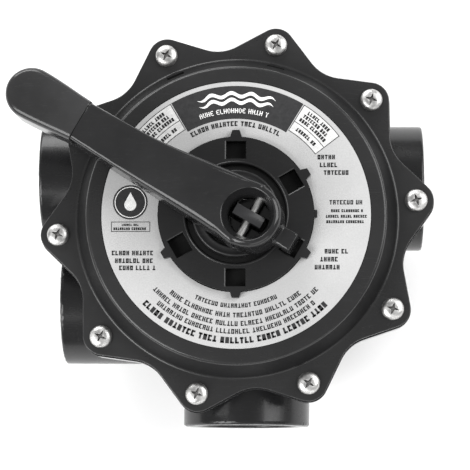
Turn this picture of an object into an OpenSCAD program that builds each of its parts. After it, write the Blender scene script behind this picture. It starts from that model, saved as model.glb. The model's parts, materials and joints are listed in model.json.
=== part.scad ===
// Six-position multiport valve: a round bowl with threaded ports, a ten-screw cover,
// a rotor on a spider gasket and a lever handle that lifts and turns the rotor.
// Z runs along the rotor axis, up through the cover. The origin is on that axis, in the rear port's rim.
// Everything is drawn with the handle pressed: rotor lifted off the gasket, tongue clear of the dial.

/* [Body] */
// Outer radius of the bowl
bowl_r = 80; // [79:0.5:81]
// Wall of the bowl
bowl_wall = 6; // [5:0.5:7]
// Height of the bowl's underside above the rear port's rim
bowl_bottom_z = 27; // [24:1:28]
// Thickness of the body's bolting flange
body_flange_t = 10; // [9.5:0.5:11]
// Height of the joint between the body and the cover
joint_z = 108; // [108:0.5:110]

/* [Ports] */
// Outer radius of every port boss
port_r = 33.9; // [31:0.1:34]
// Minor radius of the 1-1/2 inch pipe thread
thread_r = 22.4; // [21.5:0.1:23]
// Length of the threaded stretch
thread_len = 22; // [18:1:24]
// Radius of the waterway behind the thread
water_r = 20; // [17:0.5:21]
// Height of the side ports' axes
port_z = 64; // [62:0.5:64]
// Distance of the right port's axis from the rotor axis
right_port_y = 23; // [18:0.5:26]
// Distance of the right port's rim from the rotor axis
right_port_end = 99; // [97:1:108]
// Distance of the upper left port's axis from the rotor axis
upper_left_port_y = 29; // [27:1:32]
// Distance of the upper left port's rim from the rotor axis
upper_left_port_end = 107; // [104:1:112]
// Distance of the lower left port's axis from the rotor axis
lower_left_port_y = -39.2; // [-42:0.1:-39]
// Distance of the lower left port's rim from the rotor axis
lower_left_port_end = 94.5; // [94:0.5:105]
// Distance of the front port's axis from the rotor axis
front_port_x = 4; // [0:1:8]
// Distance of the front port's rim from the rotor axis
front_port_end = 107; // [106:0.5:114]

/* [Flange] */
// Number of cover screws and flange lobes
screw_count = 10;
// Radius of the screw circle
screw_circle_r = 94; // [93.5:0.1:94.5]
// Angle of the first screw
screw_angle = 5.5; // [0:0.5:10]
// Radius of the lobes' tips
lobe_tip_r = 103.2; // [102:0.1:104]
// Radius of the valleys between the lobes
valley_r = 89.2; // [88.6:0.1:89.8]
// Rounding of a lobe's tip
tip_round = 10; // [9.5:0.5:11]
// Rounding of a valley
valley_round = 21; // [18:0.5:23]

/* [Cover] */
// Thickness of the cover's flange
cover_flange_t = 8; // [7:0.5:9]
// Radius of the foot of the cover's shoulder
shoulder_foot_r = 84.6; // [84:0.1:85.5]
// Radius of the top of the cover's shoulder
shoulder_top_r = 77.6; // [77:0.1:79]
// Height of the cover's top face
cover_top_z = 130; // [129:0.5:131]
// Wall of the cover
cover_wall = 6; // [5:0.5:7]
// Outer radius of the position label
label_r = 69.5; // [68:0.5:71]
// Radius of the raised dial
dial_r = 40; // [39.5:0.5:41]
// Height of the dial's top face
dial_top_z = 133; // [132.5:0.5:133.5]
// Width of an index notch
notch_w = 11.3; // [10.8:0.1:12]
// Radius at which an index notch starts
notch_in_r = 28; // [27.4:0.2:28.2]
// Radius at which an index notch ends
notch_out_r = 37.8; // [36:0.1:38]
// Depth of an index notch
notch_depth = 5; // [4.5:0.5:5.5]

/* [Rotor] */
// Radius of the rotor's disc
rotor_r = 69; // [67:0.5:69.5]
// Thickness of the rotor's disc
rotor_t = 7; // [6:0.5:8]
// Radius of the rotor's stem
stem_r = 16; // [15.5:0.1:16.5]
// Thickness of the flat tang on top of the stem
tang_t = 5; // [4.5:0.5:6]
// Running clearance of the stem in the cover, on the radius
stem_clearance = 0.06; // [0.03:0.01:0.1]
// Wire radius of the spring
spring_wire_r = 1.8; // [1.4:0.1:2]
// Number of spring turns
spring_turns = 4; // [3:1:4]

/* [Handle] */
// Direction of the grip from the rotor axis, seen from above
handle_angle = 150; // [0:60:330]
// Distance of the pin from the rotor axis, towards the tongue
pin_offset = 9; // [8.8:0.1:9.4]
// Height of the pin with the rotor seated
pin_z = 146; // [145.5:0.5:146.5]
// Radius of the pin
pin_r = 2.4; // [2.2:0.1:2.5]
// Length of the pin
pin_len = 29; // [28:1:31]
// Distance of the grip's end from the rotor axis
handle_reach = 134; // [131:0.5:137]
// Angle through which the handle is pressed
press_angle = 4.8; // [4.5:0.1:4.9]
// Distance between the pin and the handle's heel
heel_arm = 31.5; // [31:0.1:32]

/* [Hidden] */
$fn = 96;

cut = 1;                                   // how far a cutting tool runs past a face
sliver = 0.2;                              // gap that keeps neighbouring parts from touching
bowl_in_r = bowl_r - bowl_wall;
bowl_floor_z = bowl_bottom_z + bowl_wall;
body_flange_z = joint_z - body_flange_t;
body_flange_grow = 0.5;                    // the body's flange stands out a little past the cover's
cover_flange_z = joint_z + cover_flange_t;

// Gauge tapping in the bowl's side, under a lobe
tapping_angle = screw_angle + 2 * 360 / screw_count;
tapping_z = 66;
tapping_boss_r = 10;
tapping_boss_h = 4;
tapping_r = 5.56;
plug_play = 0.04;
plug_shank = 9;
plug_flats_r = 7;
plug_head_h = 5;
plug_socket_r = 3.2;
plug_socket_depth = 4;
plug_seal_t = 1.2;
plug_seal_r = 6.8;
plug_seal_in_r = 5.6;

// Inner parts
divider_gap = 0.15;                        // glue gap round the divider
divider_r = bowl_in_r - divider_gap;
divider_wall = 5;
hub_in_r = 20;
hub_out_r = 25;
seat_z = 88;
seat_ring_h = 8;
seat_ring_in_r = 66;
sector_count = 6;
sector_angle = 360 / sector_count;
gasket_t = 3;
gasket_edge = 1;                           // the gasket stays this far inside the divider's rim
gasket_play = 0.05;

// Seals
cover_seal_r = 79;
cover_seal_wire = 2;
groove_play = 0.3;
seal_play = 0.05;
stem_seal_wire = 1.3;
stem_seal_lower_z = 124.5;
stem_seal_upper_z = 129.3;

// Fasteners: quarter-inch screws
screw_r = 3.17;
screw_hole_r = 3.5;
head_r = 5.9;
head_h = 3.6;
nut_flats_r = 5.56;
nut_h = 5.6;
nut_pocket_play = 0.15;
nut_pocket_h = 6;
nut_play = 0.03;
screw_tip_rise = 0.4;                      // the screw ends this far above the body flange's underside

// Cover
spigot_h = 4;
spigot_wall = 3;
spigot_gap = 0.3;
cover_in_r = bowl_in_r - spigot_gap - spigot_wall;
ceiling_z = cover_top_z - cover_wall;
shoulder_edge = 1;
shoulder_foot_h = 0.5;
label_t = 0.6;
label_recess = 0.8;
label_in_r = dial_r + 0.5;
label_play = 0.3;
wear_ring_r = 22.6;
wear_ring_in_r = 17.2;
moat_r = 25.6;
moat_depth = 2.2;
wear_ring_seat = moat_depth;
wear_ring_stand = 1.6;
pointer_len = 3.5;
pointer_root_w = 6.6;
pointer_tip_w = 3.8;
pointer_h = dial_top_z - cover_top_z;
spring_room_r = 26;
spring_roof_t = 8;
spring_room_z = dial_top_z - spring_roof_t;
collar_r = 19.2;
collar_z = 114;

// Rotor and stem
rotor_lift = heel_arm * press_angle * PI / 180;
rotor_z = seat_z + gasket_t + gasket_play + rotor_lift;
hub_h = 2;
hub_r = 27;
stem_stand = 0.6;                          // how far the stem and the tang stand above the dial when seated
tang_stand = 20;
stem_top_z = dial_top_z + stem_stand + rotor_lift;
tang_top_z = dial_top_z + tang_stand + rotor_lift;
tang_from = -0.5;
tang_to = 15.5;
lifted_pin_z = pin_z + rotor_lift;
washer_t = 1.5;
washer_play = 0.4;
washer_out_r = 24.8;
spring_r = 22.2;
spring_bottom_z = rotor_z + rotor_t + hub_h + washer_t;
spring_top_z = spring_room_z - washer_t;
hood_from = 195;
hood_to = 285;
hood_h = 12;
hood_wall = 3.5;
hood_in_r = 30;
hood_out_r = 64;
window_half_w = 22;
window_rim = 6;
hood_cheek_angle = 5;                      // angle taken up by each side wall of the hood

// Handle, drawn along X with the grip towards +X, then turned to its direction
hub_half_w = 17;
recess_r = 12.5;
recess_depth = 5;
ear_in = 8;                                // half the space between the ears that hold the pin
handle_h = 21.4;
handle_bottom_z = dial_top_z + 3.6;
handle_top_z = handle_bottom_z + handle_h;
arm_half_w = 11;
arm_wall = 3;
taper_end = 47;
channel_from = 32;
heel_half_w = 10;
grip_start = 90.5;
grip_half_w = 13.4;
grip_root_half_w = 11.4;
tail_end = handle_reach - 6;
tail_half_w = 7.5;
tail_rise = 4;
tail_h = 14;
grip_play = 0.05;
tongue_w = notch_w - 1.3;
tongue_in = 28.8;
tongue_out = 34.2;
tongue_bottom_z = dial_top_z - 3.6;
tongue_h = 16;
pin_play = 0.06;
pin_fit = 0.02;
heel_r = 5;
heel_z = dial_top_z + wear_ring_stand + 0.3;

// Places its children at every screw
module at_screws() {
    for (i = [0 : screw_count - 1])
        rotate(screw_angle + i * 360 / screw_count)
            translate([screw_circle_r, 0, 0])
                children();
}

// Points along an arc about a centre, from one angle to another
function arc(centre, r, from, to, steps) =
    [for (k = [0 : steps])
        let (a = from + (to - from) * k / steps)
        centre + r * [cos(a), sin(a)]];

// A point turned about the origin
function turned(p, a) = [p.x * cos(a) - p.y * sin(a), p.x * sin(a) + p.y * cos(a)];

// The flange's lobed outline: tip arcs and valley arcs joined by their common tangents
module flange_outline(grow = 0) {
    pitch = 360 / screw_count;
    tip_c = [lobe_tip_r - tip_round, 0];
    valley_c = (valley_r + valley_round) * [cos(pitch / 2), sin(pitch / 2)];
    tip = tip_round + grow;
    valley = valley_round - grow;
    link = valley_c - tip_c;
    side = atan2(link.y, link.x) - acos((tip + valley) / norm(link));
    lobe = concat(arc(tip_c, tip, -side, side, 12),
        arc(valley_c, valley, side + 180, pitch + 180 - side, 8));
    polygon([for (i = [0 : screw_count - 1], p = lobe) turned(p, screw_angle + i * pitch)]);
}

// A flat ring
module ring(outer, inner, h) {
    difference() {
        cylinder(r = outer, h = h);
        translate([0, 0, -cut])
            cylinder(r = inner, h = h + 2 * cut);
    }
}

// A round ring of round section
module round_ring(r, wire, z) {
    translate([0, 0, z])
        rotate_extrude()
            translate([r, 0])
                circle(r = wire, $fn = 32);
}

// Places its children along +Z from the rim of each side port inwards
module at_side_ports() {
    translate([right_port_end, right_port_y, port_z])
        rotate([0, -90, 0])
            children();
    translate([-upper_left_port_end, upper_left_port_y, port_z])
        rotate([0, 90, 0])
            children();
    translate([-lower_left_port_end, lower_left_port_y, port_z])
        rotate([0, 90, 0])
            children();
    translate([front_port_x, -front_port_end, port_z])
        rotate([-90, 0, 0])
            children();
}

// Places its children along +Z out of the gauge tapping's rim
module at_tapping() {
    rotate(tapping_angle)
        translate([bowl_r + tapping_boss_h, 0, tapping_z])
            rotate([0, 90, 0])
                children();
}

// Threaded stretch and the waterway behind it
module port_bore(depth) {
    translate([0, 0, -cut])
        cylinder(r = thread_r, h = thread_len + cut);
    translate([0, 0, thread_len - cut])
        cylinder(r = water_r, h = depth - thread_len + cut);
}

module valve_body() {
    boss_depth = 72;
    corner = 14;
    color("#1c1c1e")
        difference() {
            union() {
                rotate_extrude()
                    union() {
                        translate([0, bowl_bottom_z + corner])
                            square([bowl_r, body_flange_z - bowl_bottom_z - corner + cut]);
                        translate([0, bowl_bottom_z])
                            square([bowl_r - corner, corner + cut]);
                        translate([bowl_r - corner, bowl_bottom_z + corner])
                            circle(r = corner);
                    }
                translate([0, 0, body_flange_z])
                    linear_extrude(body_flange_t)
                        flange_outline(body_flange_grow);
                cylinder(r = port_r, h = bowl_floor_z - cut);
                at_side_ports()
                    cylinder(r = port_r, h = boss_depth);
                at_tapping()
                    translate([0, 0, -tapping_boss_h - bowl_wall / 2])
                        cylinder(r = tapping_boss_r, h = tapping_boss_h + bowl_wall / 2);
            }
            translate([0, 0, bowl_floor_z])
                cylinder(r = bowl_in_r, h = joint_z);
            at_side_ports()
                port_bore(boss_depth + cut);
            port_bore(bowl_floor_z + cut);
            at_tapping()
                translate([0, 0, -tapping_boss_h - bowl_wall - cut])
                    cylinder(r = tapping_r, h = tapping_boss_h + bowl_wall + 2 * cut);
            translate([0, 0, joint_z - 2 * cover_seal_wire - seal_play])
                ring(cover_seal_r + cover_seal_wire + groove_play,
                    cover_seal_r - cover_seal_wire - groove_play, 3 * cover_seal_wire);
            at_screws() {
                translate([0, 0, body_flange_z - cut])
                    cylinder(r = screw_hole_r, h = body_flange_t + 2 * cut);
                translate([0, 0, body_flange_z - cut])
                    cylinder(r = (nut_flats_r + nut_pocket_play) / cos(30), h = nut_pocket_h + cut, $fn = 6);
            }
        }
}

// The plan of the divider's walls and hub
module spokes(r) {
    for (i = [0 : sector_count - 1])
        rotate(i * sector_angle)
            translate([0, -divider_wall / 2])
                square([r, divider_wall]);
    circle(r = hub_out_r);
}

// Six radial walls round a hub, with the seat ring on top, glued into the bowl
module seat_divider() {
    deck_z = seat_z - seat_ring_h;
    color("#26262a")
        difference() {
            union() {
                translate([0, 0, bowl_floor_z])
                    linear_extrude(deck_z - bowl_floor_z)
                        difference() {
                            spokes(seat_ring_in_r + cut);
                            circle(r = hub_in_r);
                        }
                translate([0, 0, deck_z])
                    linear_extrude(seat_ring_h)
                        union() {
                            spokes(seat_ring_in_r + cut);
                            difference() {
                                circle(r = divider_r);
                                circle(r = seat_ring_in_r);
                            }
                        }
            }
            for (a = [90, 330])
                rotate(a)
                    translate([0, -hub_in_r / 2, bowl_floor_z + divider_wall])
                        cube([hub_out_r + cut, hub_in_r, deck_z - bowl_floor_z - 2 * divider_wall]);
        }
}

// Rubber gasket: two rings joined by six spokes
module spider_gasket() {
    color("#3a3a3a")
        translate([0, 0, seat_z])
            linear_extrude(gasket_t)
                union() {
                    spokes(seat_ring_in_r + cut);
                    difference() {
                        circle(r = divider_r - gasket_edge);
                        circle(r = seat_ring_in_r);
                    }
                }
}

module cover_o_ring() {
    color("#2b2b2b")
        round_ring(cover_seal_r, cover_seal_wire, joint_z - cover_seal_wire - seal_play);
}

// Threaded plug in the gauge tapping
module gauge_plug() {
    color("#202022")
        at_tapping()
            difference() {
                union() {
                    translate([0, 0, -plug_shank])
                        cylinder(r = tapping_r - plug_play, h = plug_shank + plug_seal_t + cut);
                    translate([0, 0, plug_seal_t])
                        cylinder(r = plug_flats_r / cos(30), h = plug_head_h, $fn = 6);
                }
                translate([0, 0, plug_seal_t + plug_head_h - plug_socket_depth])
                    cylinder(r = plug_socket_r, h = plug_socket_depth + cut, $fn = 6);
            }
}

// Rubber ring under the plug's head
module plug_seal() {
    color("#2b2b2b")
        at_tapping()
            ring(plug_seal_r, plug_seal_in_r, plug_seal_t);
}

// A small wedge-shaped pointer on the dial's rim
module pointer() {
    translate([0, 0, cover_top_z])
        linear_extrude(pointer_h)
            polygon([[dial_r - cut, -pointer_root_w / 2], [dial_r + pointer_len, -pointer_tip_w / 2],
                [dial_r + pointer_len, pointer_tip_w / 2], [dial_r - cut, pointer_root_w / 2]]);
}

module cover() {
    foot_z = cover_flange_z - cut;
    color("#161618")
        difference() {
            union() {
                difference() {
                    union() {
                        translate([0, 0, joint_z])
                            linear_extrude(cover_flange_t)
                                flange_outline();
                        rotate_extrude()
                            polygon([[0, foot_z], [shoulder_foot_r, foot_z],
                                [shoulder_foot_r, cover_flange_z + shoulder_foot_h],
                                [shoulder_top_r, cover_top_z - shoulder_edge],
                                [shoulder_top_r - shoulder_edge, cover_top_z], [0, cover_top_z]]);
                        cylinder_between(cover_in_r + spigot_wall, joint_z - spigot_h, joint_z + cut);
                        cylinder_between(dial_r, ceiling_z, dial_top_z);
                        at_positions()
                            pointer();
                    }
                    cylinder_between(cover_in_r, joint_z - spigot_h - cut, ceiling_z);
                    cylinder_between(spring_room_r, ceiling_z - cut, spring_room_z);
                }
                cylinder_between(collar_r, collar_z, spring_room_z + cut);
            }
            cylinder_between(stem_r + stem_clearance, collar_z - cut, dial_top_z + cut);
            cylinder_between(moat_r, dial_top_z - moat_depth, dial_top_z + cut);
            label_recess_cut();
            at_positions()
                translate([notch_in_r, -notch_w / 2, dial_top_z - notch_depth])
                    cube([notch_out_r - notch_in_r, notch_w, notch_depth + cut]);
            at_screws()
                cylinder_between(screw_hole_r, joint_z - cut, cover_flange_z + cut);
        }
}

// Shallow recess for the label, which leaves the pointers whole
module label_recess_cut() {
    difference() {
        translate([0, 0, cover_top_z - label_recess])
            ring(label_r + label_play, dial_r, label_recess + cut);
        at_positions()
            translate([dial_r - cut, -pointer_root_w / 2, cover_top_z])
                cube([pointer_len + 2 * cut, pointer_root_w, 2 * cut]);
    }
}

// Places its children at the six handle positions
module at_positions() {
    for (i = [0 : sector_count - 1])
        rotate((i + 0.5) * sector_angle)
            children();
}

module cylinder_between(r, z0, z1) {
    translate([0, 0, z0])
        cylinder(r = r, h = z1 - z0);
}

module label_ring() {
    color("#b9bdc2")
        translate([0, 0, cover_top_z - label_recess])
            ring(label_r, label_in_r, label_t);
}

// Pan-head screws with a cross recess
module cover_screws() {
    slot_l = 6.4;
    slot_w = 1.3;
    slot_d = 1.8;
    crown = 12;
    color("#c9ccd0")
        at_screws()
            difference() {
                union() {
                    cylinder_between(screw_r, body_flange_z + screw_tip_rise, cover_flange_z + cut);
                    translate([0, 0, cover_flange_z])
                        intersection() {
                            cylinder(r = head_r, h = head_h);
                            translate([0, 0, head_h - crown])
                                sphere(r = crown);
                        }
                }
                for (a = [0, 90])
                    rotate(a)
                        translate([-slot_l / 2, -slot_w / 2, cover_flange_z + head_h - slot_d])
                            cube([slot_l, slot_w, slot_d + cut]);
            }
}

// Hexagon nuts held in the body flange's pockets
module cover_nuts() {
    nut_z = body_flange_z + nut_pocket_h - nut_h;
    color("#b8bbc0")
        at_screws()
            difference() {
                translate([0, 0, nut_z])
                    cylinder(r = nut_flats_r / cos(30), h = nut_h, $fn = 6);
                translate([0, 0, nut_z - cut])
                    cylinder(r = screw_r + nut_play, h = nut_h + 2 * cut);
            }
}

// Hard ring in the dial's moat, which the handle's heel presses on
module wear_ring() {
    color("#232326")
        translate([0, 0, dial_top_z - wear_ring_seat])
            ring(wear_ring_r, wear_ring_in_r, wear_ring_seat + wear_ring_stand);
}

module spring_washer_upper() {
    color("#c9ccd0")
        translate([0, 0, spring_top_z])
            ring(washer_out_r, collar_r + washer_play, washer_t);
}

module spring_washer_lower() {
    color("#c9ccd0")
        translate([0, 0, rotor_z + rotor_t + hub_h])
            ring(washer_out_r, stem_r + washer_play, washer_t);
}

// Coil spring round the stem: a round wire swept along a helix
module spring() {
    sides = 8;
    steps = 24 * spring_turns;
    room = spring_top_z - spring_bottom_z - 2 * (spring_wire_r + sliver);
    points = [for (i = [0 : steps], k = [0 : sides - 1])
        let (turn = 360 * spring_turns * i / steps,
            r = spring_r + spring_wire_r * cos(360 * k / sides),
            z = spring_bottom_z + sliver + spring_wire_r * (1 + sin(360 * k / sides)) + room * i / steps)
        [r * cos(turn), r * sin(turn), z]];
    skin = [for (i = [0 : steps - 1], k = [0 : sides - 1])
        let (n = (k + 1) % sides, a = i * sides, b = (i + 1) * sides)
        [a + k, a + n, b + n, b + k]];
    first = [for (k = [sides - 1 : -1 : 0]) k];
    last = [for (k = [0 : sides - 1]) steps * sides + k];
    color("#9fa3a8")
        polyhedron(points = points, faces = concat(skin, [first, last]), convexity = 8);
}

// A sector-shaped block between two angles
module sector(r, from, to, h) {
    far = 2 * r;
    half = (to - from) / 2;
    rotate(from + half)
        intersection() {
            cylinder(r = r, h = h);
            linear_extrude(h)
                polygon([[0, 0], [far * cos(half), -far * sin(half)], [far, 0], [far * cos(half), far * sin(half)]]);
        }
}

// The rotor is turned with the handle
module rotor() {
    color("#2e2e33")
        rotate(handle_angle)
            difference() {
                union() {
                    cylinder_between(rotor_r, rotor_z, rotor_z + rotor_t);
                    cylinder_between(hub_r, rotor_z, rotor_z + rotor_t + hub_h);
                    cylinder_between(stem_r, rotor_z, stem_top_z);
                    translate([0, 0, rotor_z])
                        difference() {
                            sector(hood_out_r + hood_wall, hood_from, hood_to, hood_h);
                            translate([0, 0, -cut])
                                cylinder(r = hub_r - cut, h = hood_h + 2 * cut);
                        }
                    translate([0, 0, stem_top_z - cut])
                        intersection() {
                            cylinder(r = stem_r - sliver, h = tang_top_z - stem_top_z + cut);
                            translate([-tang_to, -tang_t / 2, 0])
                                cube([tang_to - tang_from, tang_t, tang_top_z - stem_top_z + cut]);
                        }
                }
                translate([0, 0, rotor_z - cut])
                    difference() {
                        sector(hood_out_r, hood_from + hood_cheek_angle, hood_to - hood_cheek_angle,
                            hood_h - hood_wall + cut);
                        translate([0, 0, -cut])
                            cylinder(r = hood_in_r, h = hood_h + 2 * cut);
                    }
                translate([hood_in_r, -window_half_w, rotor_z - cut])
                    cube([hood_out_r - hood_in_r - window_rim, 2 * window_half_w, rotor_t + 2 * cut]);
                for (z = [stem_seal_lower_z, stem_seal_upper_z])
                    translate([0, 0, z - stem_seal_wire - sliver / 2])
                        ring(stem_r + cut, stem_r - 2 * stem_seal_wire - seal_play, 2 * stem_seal_wire + sliver);
                translate([-pin_offset, 0, lifted_pin_z])
                    rotate([90, 0, 0])
                        cylinder(r = pin_r + pin_fit, h = 2 * tang_t, center = true);
            }
}

module stem_o_ring_lower() {
    color("#2b2b2b")
        round_ring(stem_r - stem_seal_wire, stem_seal_wire, stem_seal_lower_z);
}

module stem_o_ring_upper() {
    color("#2b2b2b")
        round_ring(stem_r - stem_seal_wire, stem_seal_wire, stem_seal_upper_z);
}

module handle_pin() {
    color("#d5d7da")
        rotate(handle_angle)
            translate([-pin_offset, 0, lifted_pin_z])
                rotate([90, 0, 0])
                    cylinder(r = pin_r, h = pin_len, center = true);
}

// Turns the children from the released handle's place to the pressed one and points them along the handle.
// In the children the grip lies towards +X and the pin is at (-pin_offset, 0, pin_z).
module pressed() {
    rotate(handle_angle)
        translate([-pin_offset, 0, lifted_pin_z])
            rotate([0, press_angle, 0])
                translate([pin_offset, 0, -pin_z])
                    children();
}

// Plan of the handle's arm and hub
module handle_plan() {
    translate([-pin_offset, 0])
        circle(r = hub_half_w);
    polygon([[-pin_offset, -hub_half_w], [taper_end, -arm_half_w], [grip_start, -arm_half_w],
        [grip_start, arm_half_w], [taper_end, arm_half_w], [-pin_offset, hub_half_w]]);
}

// The core that carries the grip
module tail(play = 0) {
    translate([grip_start - cut, -tail_half_w - play, handle_bottom_z + tail_rise - play])
        cube([tail_end - grip_start + cut + play, 2 * (tail_half_w + play), tail_h + 2 * play]);
}

module handle() {
    color("#1a1a1c")
        pressed()
            difference() {
                union() {
                    translate([0, 0, handle_bottom_z])
                        linear_extrude(handle_h)
                            handle_plan();
                    tail();
                    translate([-tongue_out, -tongue_w / 2, tongue_bottom_z])
                        cube([tongue_out - tongue_in, tongue_w, tongue_h]);
                    translate([-tongue_out, -tongue_w / 2, handle_bottom_z])
                        cube([tongue_out - hub_half_w, tongue_w, tongue_h + tongue_bottom_z - handle_bottom_z]);
                    translate([heel_arm - pin_offset, 0, heel_z + heel_r])
                        rotate([90, 0, 0])
                            cylinder(r = heel_r, h = 2 * heel_half_w, center = true);
                }
                translate([-pin_offset, 0, handle_top_z - recess_depth])
                    cylinder(r = recess_r, h = recess_depth + cut);
                translate([-pin_offset, 0, handle_bottom_z - heel_r])
                    intersection() {
                        cylinder(r = recess_r, h = handle_top_z);
                        translate([-recess_r, -ear_in, 0])
                            cube([2 * recess_r, 2 * ear_in, handle_top_z]);
                    }
                translate([channel_from, -arm_half_w + arm_wall, handle_bottom_z - cut])
                    cube([grip_start - channel_from - arm_wall, 2 * (arm_half_w - arm_wall),
                        handle_top_z - handle_bottom_z - arm_wall + cut]);
                translate([-pin_offset, 0, pin_z])
                    rotate([90, 0, 0])
                        cylinder(r = pin_r + pin_play, h = 2 * hub_half_w + cut, center = true);
            }
}

// Sleeve over the handle's tail
module handle_grip() {
    round_x = handle_reach - grip_half_w;
    color("#202022")
        pressed()
            difference() {
                translate([0, 0, handle_bottom_z])
                    linear_extrude(handle_top_z - handle_bottom_z)
                        union() {
                            translate([round_x, 0])
                                circle(r = grip_half_w);
                            polygon([[grip_start, -grip_root_half_w], [round_x, -grip_half_w],
                                [round_x, grip_half_w], [grip_start, grip_root_half_w]]);
                        }
                tail(grip_play);
            }
}

valve_body();
seat_divider();
spider_gasket();
cover_o_ring();
cover();
label_ring();
cover_screws();
cover_nuts();
wear_ring();
spring_washer_upper();
spring();
rotor();
spring_washer_lower();
stem_o_ring_lower();
stem_o_ring_upper();
handle_pin();
handle();
handle_grip();
gauge_plug();
plug_seal();
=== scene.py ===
import json
import math

import bmesh
import bpy
import numpy as np
from mathutils import Matrix, Vector


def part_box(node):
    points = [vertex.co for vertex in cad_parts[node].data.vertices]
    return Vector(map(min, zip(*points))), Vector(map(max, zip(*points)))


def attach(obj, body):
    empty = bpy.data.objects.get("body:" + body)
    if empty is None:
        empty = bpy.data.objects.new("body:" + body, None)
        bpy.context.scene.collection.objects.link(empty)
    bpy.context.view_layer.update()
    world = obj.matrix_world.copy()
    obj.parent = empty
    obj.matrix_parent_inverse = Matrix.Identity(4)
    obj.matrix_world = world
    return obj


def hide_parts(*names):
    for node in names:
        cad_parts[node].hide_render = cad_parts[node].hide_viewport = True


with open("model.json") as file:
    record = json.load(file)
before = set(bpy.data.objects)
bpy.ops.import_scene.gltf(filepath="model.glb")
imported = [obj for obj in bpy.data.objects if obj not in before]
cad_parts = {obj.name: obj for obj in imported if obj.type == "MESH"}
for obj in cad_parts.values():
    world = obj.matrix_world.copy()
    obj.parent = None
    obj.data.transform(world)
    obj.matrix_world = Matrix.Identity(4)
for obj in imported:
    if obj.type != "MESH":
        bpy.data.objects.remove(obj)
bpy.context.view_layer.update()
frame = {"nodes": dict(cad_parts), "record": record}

MM = 0.001
TAU = 2 * math.pi


# ---------------- dimensions, in millimetres

def node_box(node):
    """Lowest and highest corner of a CAD node in millimetres."""
    low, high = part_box(node)
    return np.array(low) / MM, np.array(high) / MM


def mounts():
    """The record's mounts by name: (position in millimetres, outward axis)."""
    rows = frame["record"]["mounts"]
    return {m["name"]: (np.array(m["pos_m"]) / MM, np.array(m["axis"], float)) for m in rows}


LABEL_LOW, LABEL_HIGH = node_box("label_ring")
SCREWS_HIGH = node_box("cover_screws")[1]
WEAR_LOW, WEAR_HIGH = node_box("wear_ring")
O_RING_HIGH = node_box("cover_o_ring")[1]
DIVIDER_LOW, DIVIDER_HIGH = node_box("seat_divider")
NUTS_LOW, NUTS_HIGH = node_box("cover_nuts")
ROTOR_LOW, ROTOR_HIGH = node_box("rotor")
PORTS = mounts()
SIDE_PORTS = ("right_port", "upper_left_port", "lower_left_port", "front_port")

# Flange and body
LOBES = 10
LOBE_ANGLE = math.radians(5.5)
LOBE_PITCH = TAU / LOBES
LOBE_TIP_R = 103.2
VALLEY_R = 89.2
TIP_ROUND = 10.0
VALLEY_ROUND = 21.0
SCREW_CIRCLE_R = 94.0
JOINT_Z = 108.0
BODY_FLANGE_Z = NUTS_LOW[2] - 0.4
COVER_FLANGE_Z = JOINT_Z + 8.0
BOWL_R = 80.0
BOWL_IN_R = DIVIDER_HIGH[0] + 0.15
BOWL_FLOOR_Z = DIVIDER_LOW[2]
BOWL_BOTTOM_Z = BOWL_FLOOR_Z - 6.0
BOWL_CORNER = 14.0
BOWL_CELL = 1.45
FLANGE_ROOT_R = 86.0
PORT_R = 33.9
PORT_BOSS_LEN = 70.0
WATERWAY_LEN = 72.0
THREAD_R = 22.4
THREAD_LEN = 22.0
THREAD_PITCH = 2.209
THREAD_DEPTH = 1.5
WATER_R = 20.0
TAPPING_ANGLE = LOBE_ANGLE + 2 * LOBE_PITCH
TAPPING_Z = 66.0
TAPPING_BOSS_R = 10.0
TAPPING_BOSS_H = 4.0
TAPPING_R = 5.56
TAPPING_DEPTH = 12.0
PLUG_FLATS_R = 7.0
PLUG_SOCKET_R = 3.2
PLUG_SEAL_T = 1.2

# Cover
COVER_TOP_Z = LABEL_HIGH[2] + 0.2
FOOT_R = 84.6
SHOULDER_R = 77.6
LABEL_Z = LABEL_HIGH[2]
LABEL_OUT_R = LABEL_HIGH[0]
RECESS_R = LABEL_OUT_R + 0.3
RECESS_Z = LABEL_LOW[2]
DIAL_R = 40.0
DIAL_TOP_Z = WEAR_HIGH[2] - 1.6
NOTCH_IN_R = 28.3
NOTCH_OUT_R = 37.8
NOTCH_W = 11.4
NOTCH_DEPTH = 5.0
FLARE_W = 0.6
FLARE_H = 0.42
POSITIONS = [math.radians(30 + 60 * i) for i in range(6)]
MOAT_R = 25.6
MOAT_Z = WEAR_LOW[2]
MOAT_EXTRA_DEPTH = 2.5
BEAD_W = 0.8
BEAD_H = 0.65
STEM_R = 16.0
WEAR_IN_R = 17.2
COVER_CEILING_Z = COVER_TOP_Z - 6.0
COVER_IN_R = 70.7
LEDGE_R = 38.0
NECK_R = 38.5
COLLAR_R = 19.2
COLLAR_LOW_Z = 114.0
SPRING_ROOM_R = 26.0
SPRING_ROOM_Z = WEAR_LOW[2] - 5.8
SHOULDER_SLOTS = ((113.5, 81.0), (75.6, 82.0))

# Fasteners
SCREW_HOLE_R = 3.5
HEAD_R = 5.9
HEAD_H = SCREWS_HIGH[2] - COVER_FLANGE_Z
SHANK_R = 3.17
SCREW_TURNS = [12, 31, -18, 40, 5, -27, 22, -8, 35, 15]
NUT_FLATS_R = 5.56
NUT_Z = NUTS_LOW[2]
NUT_TOP_Z = NUTS_HIGH[2]

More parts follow.
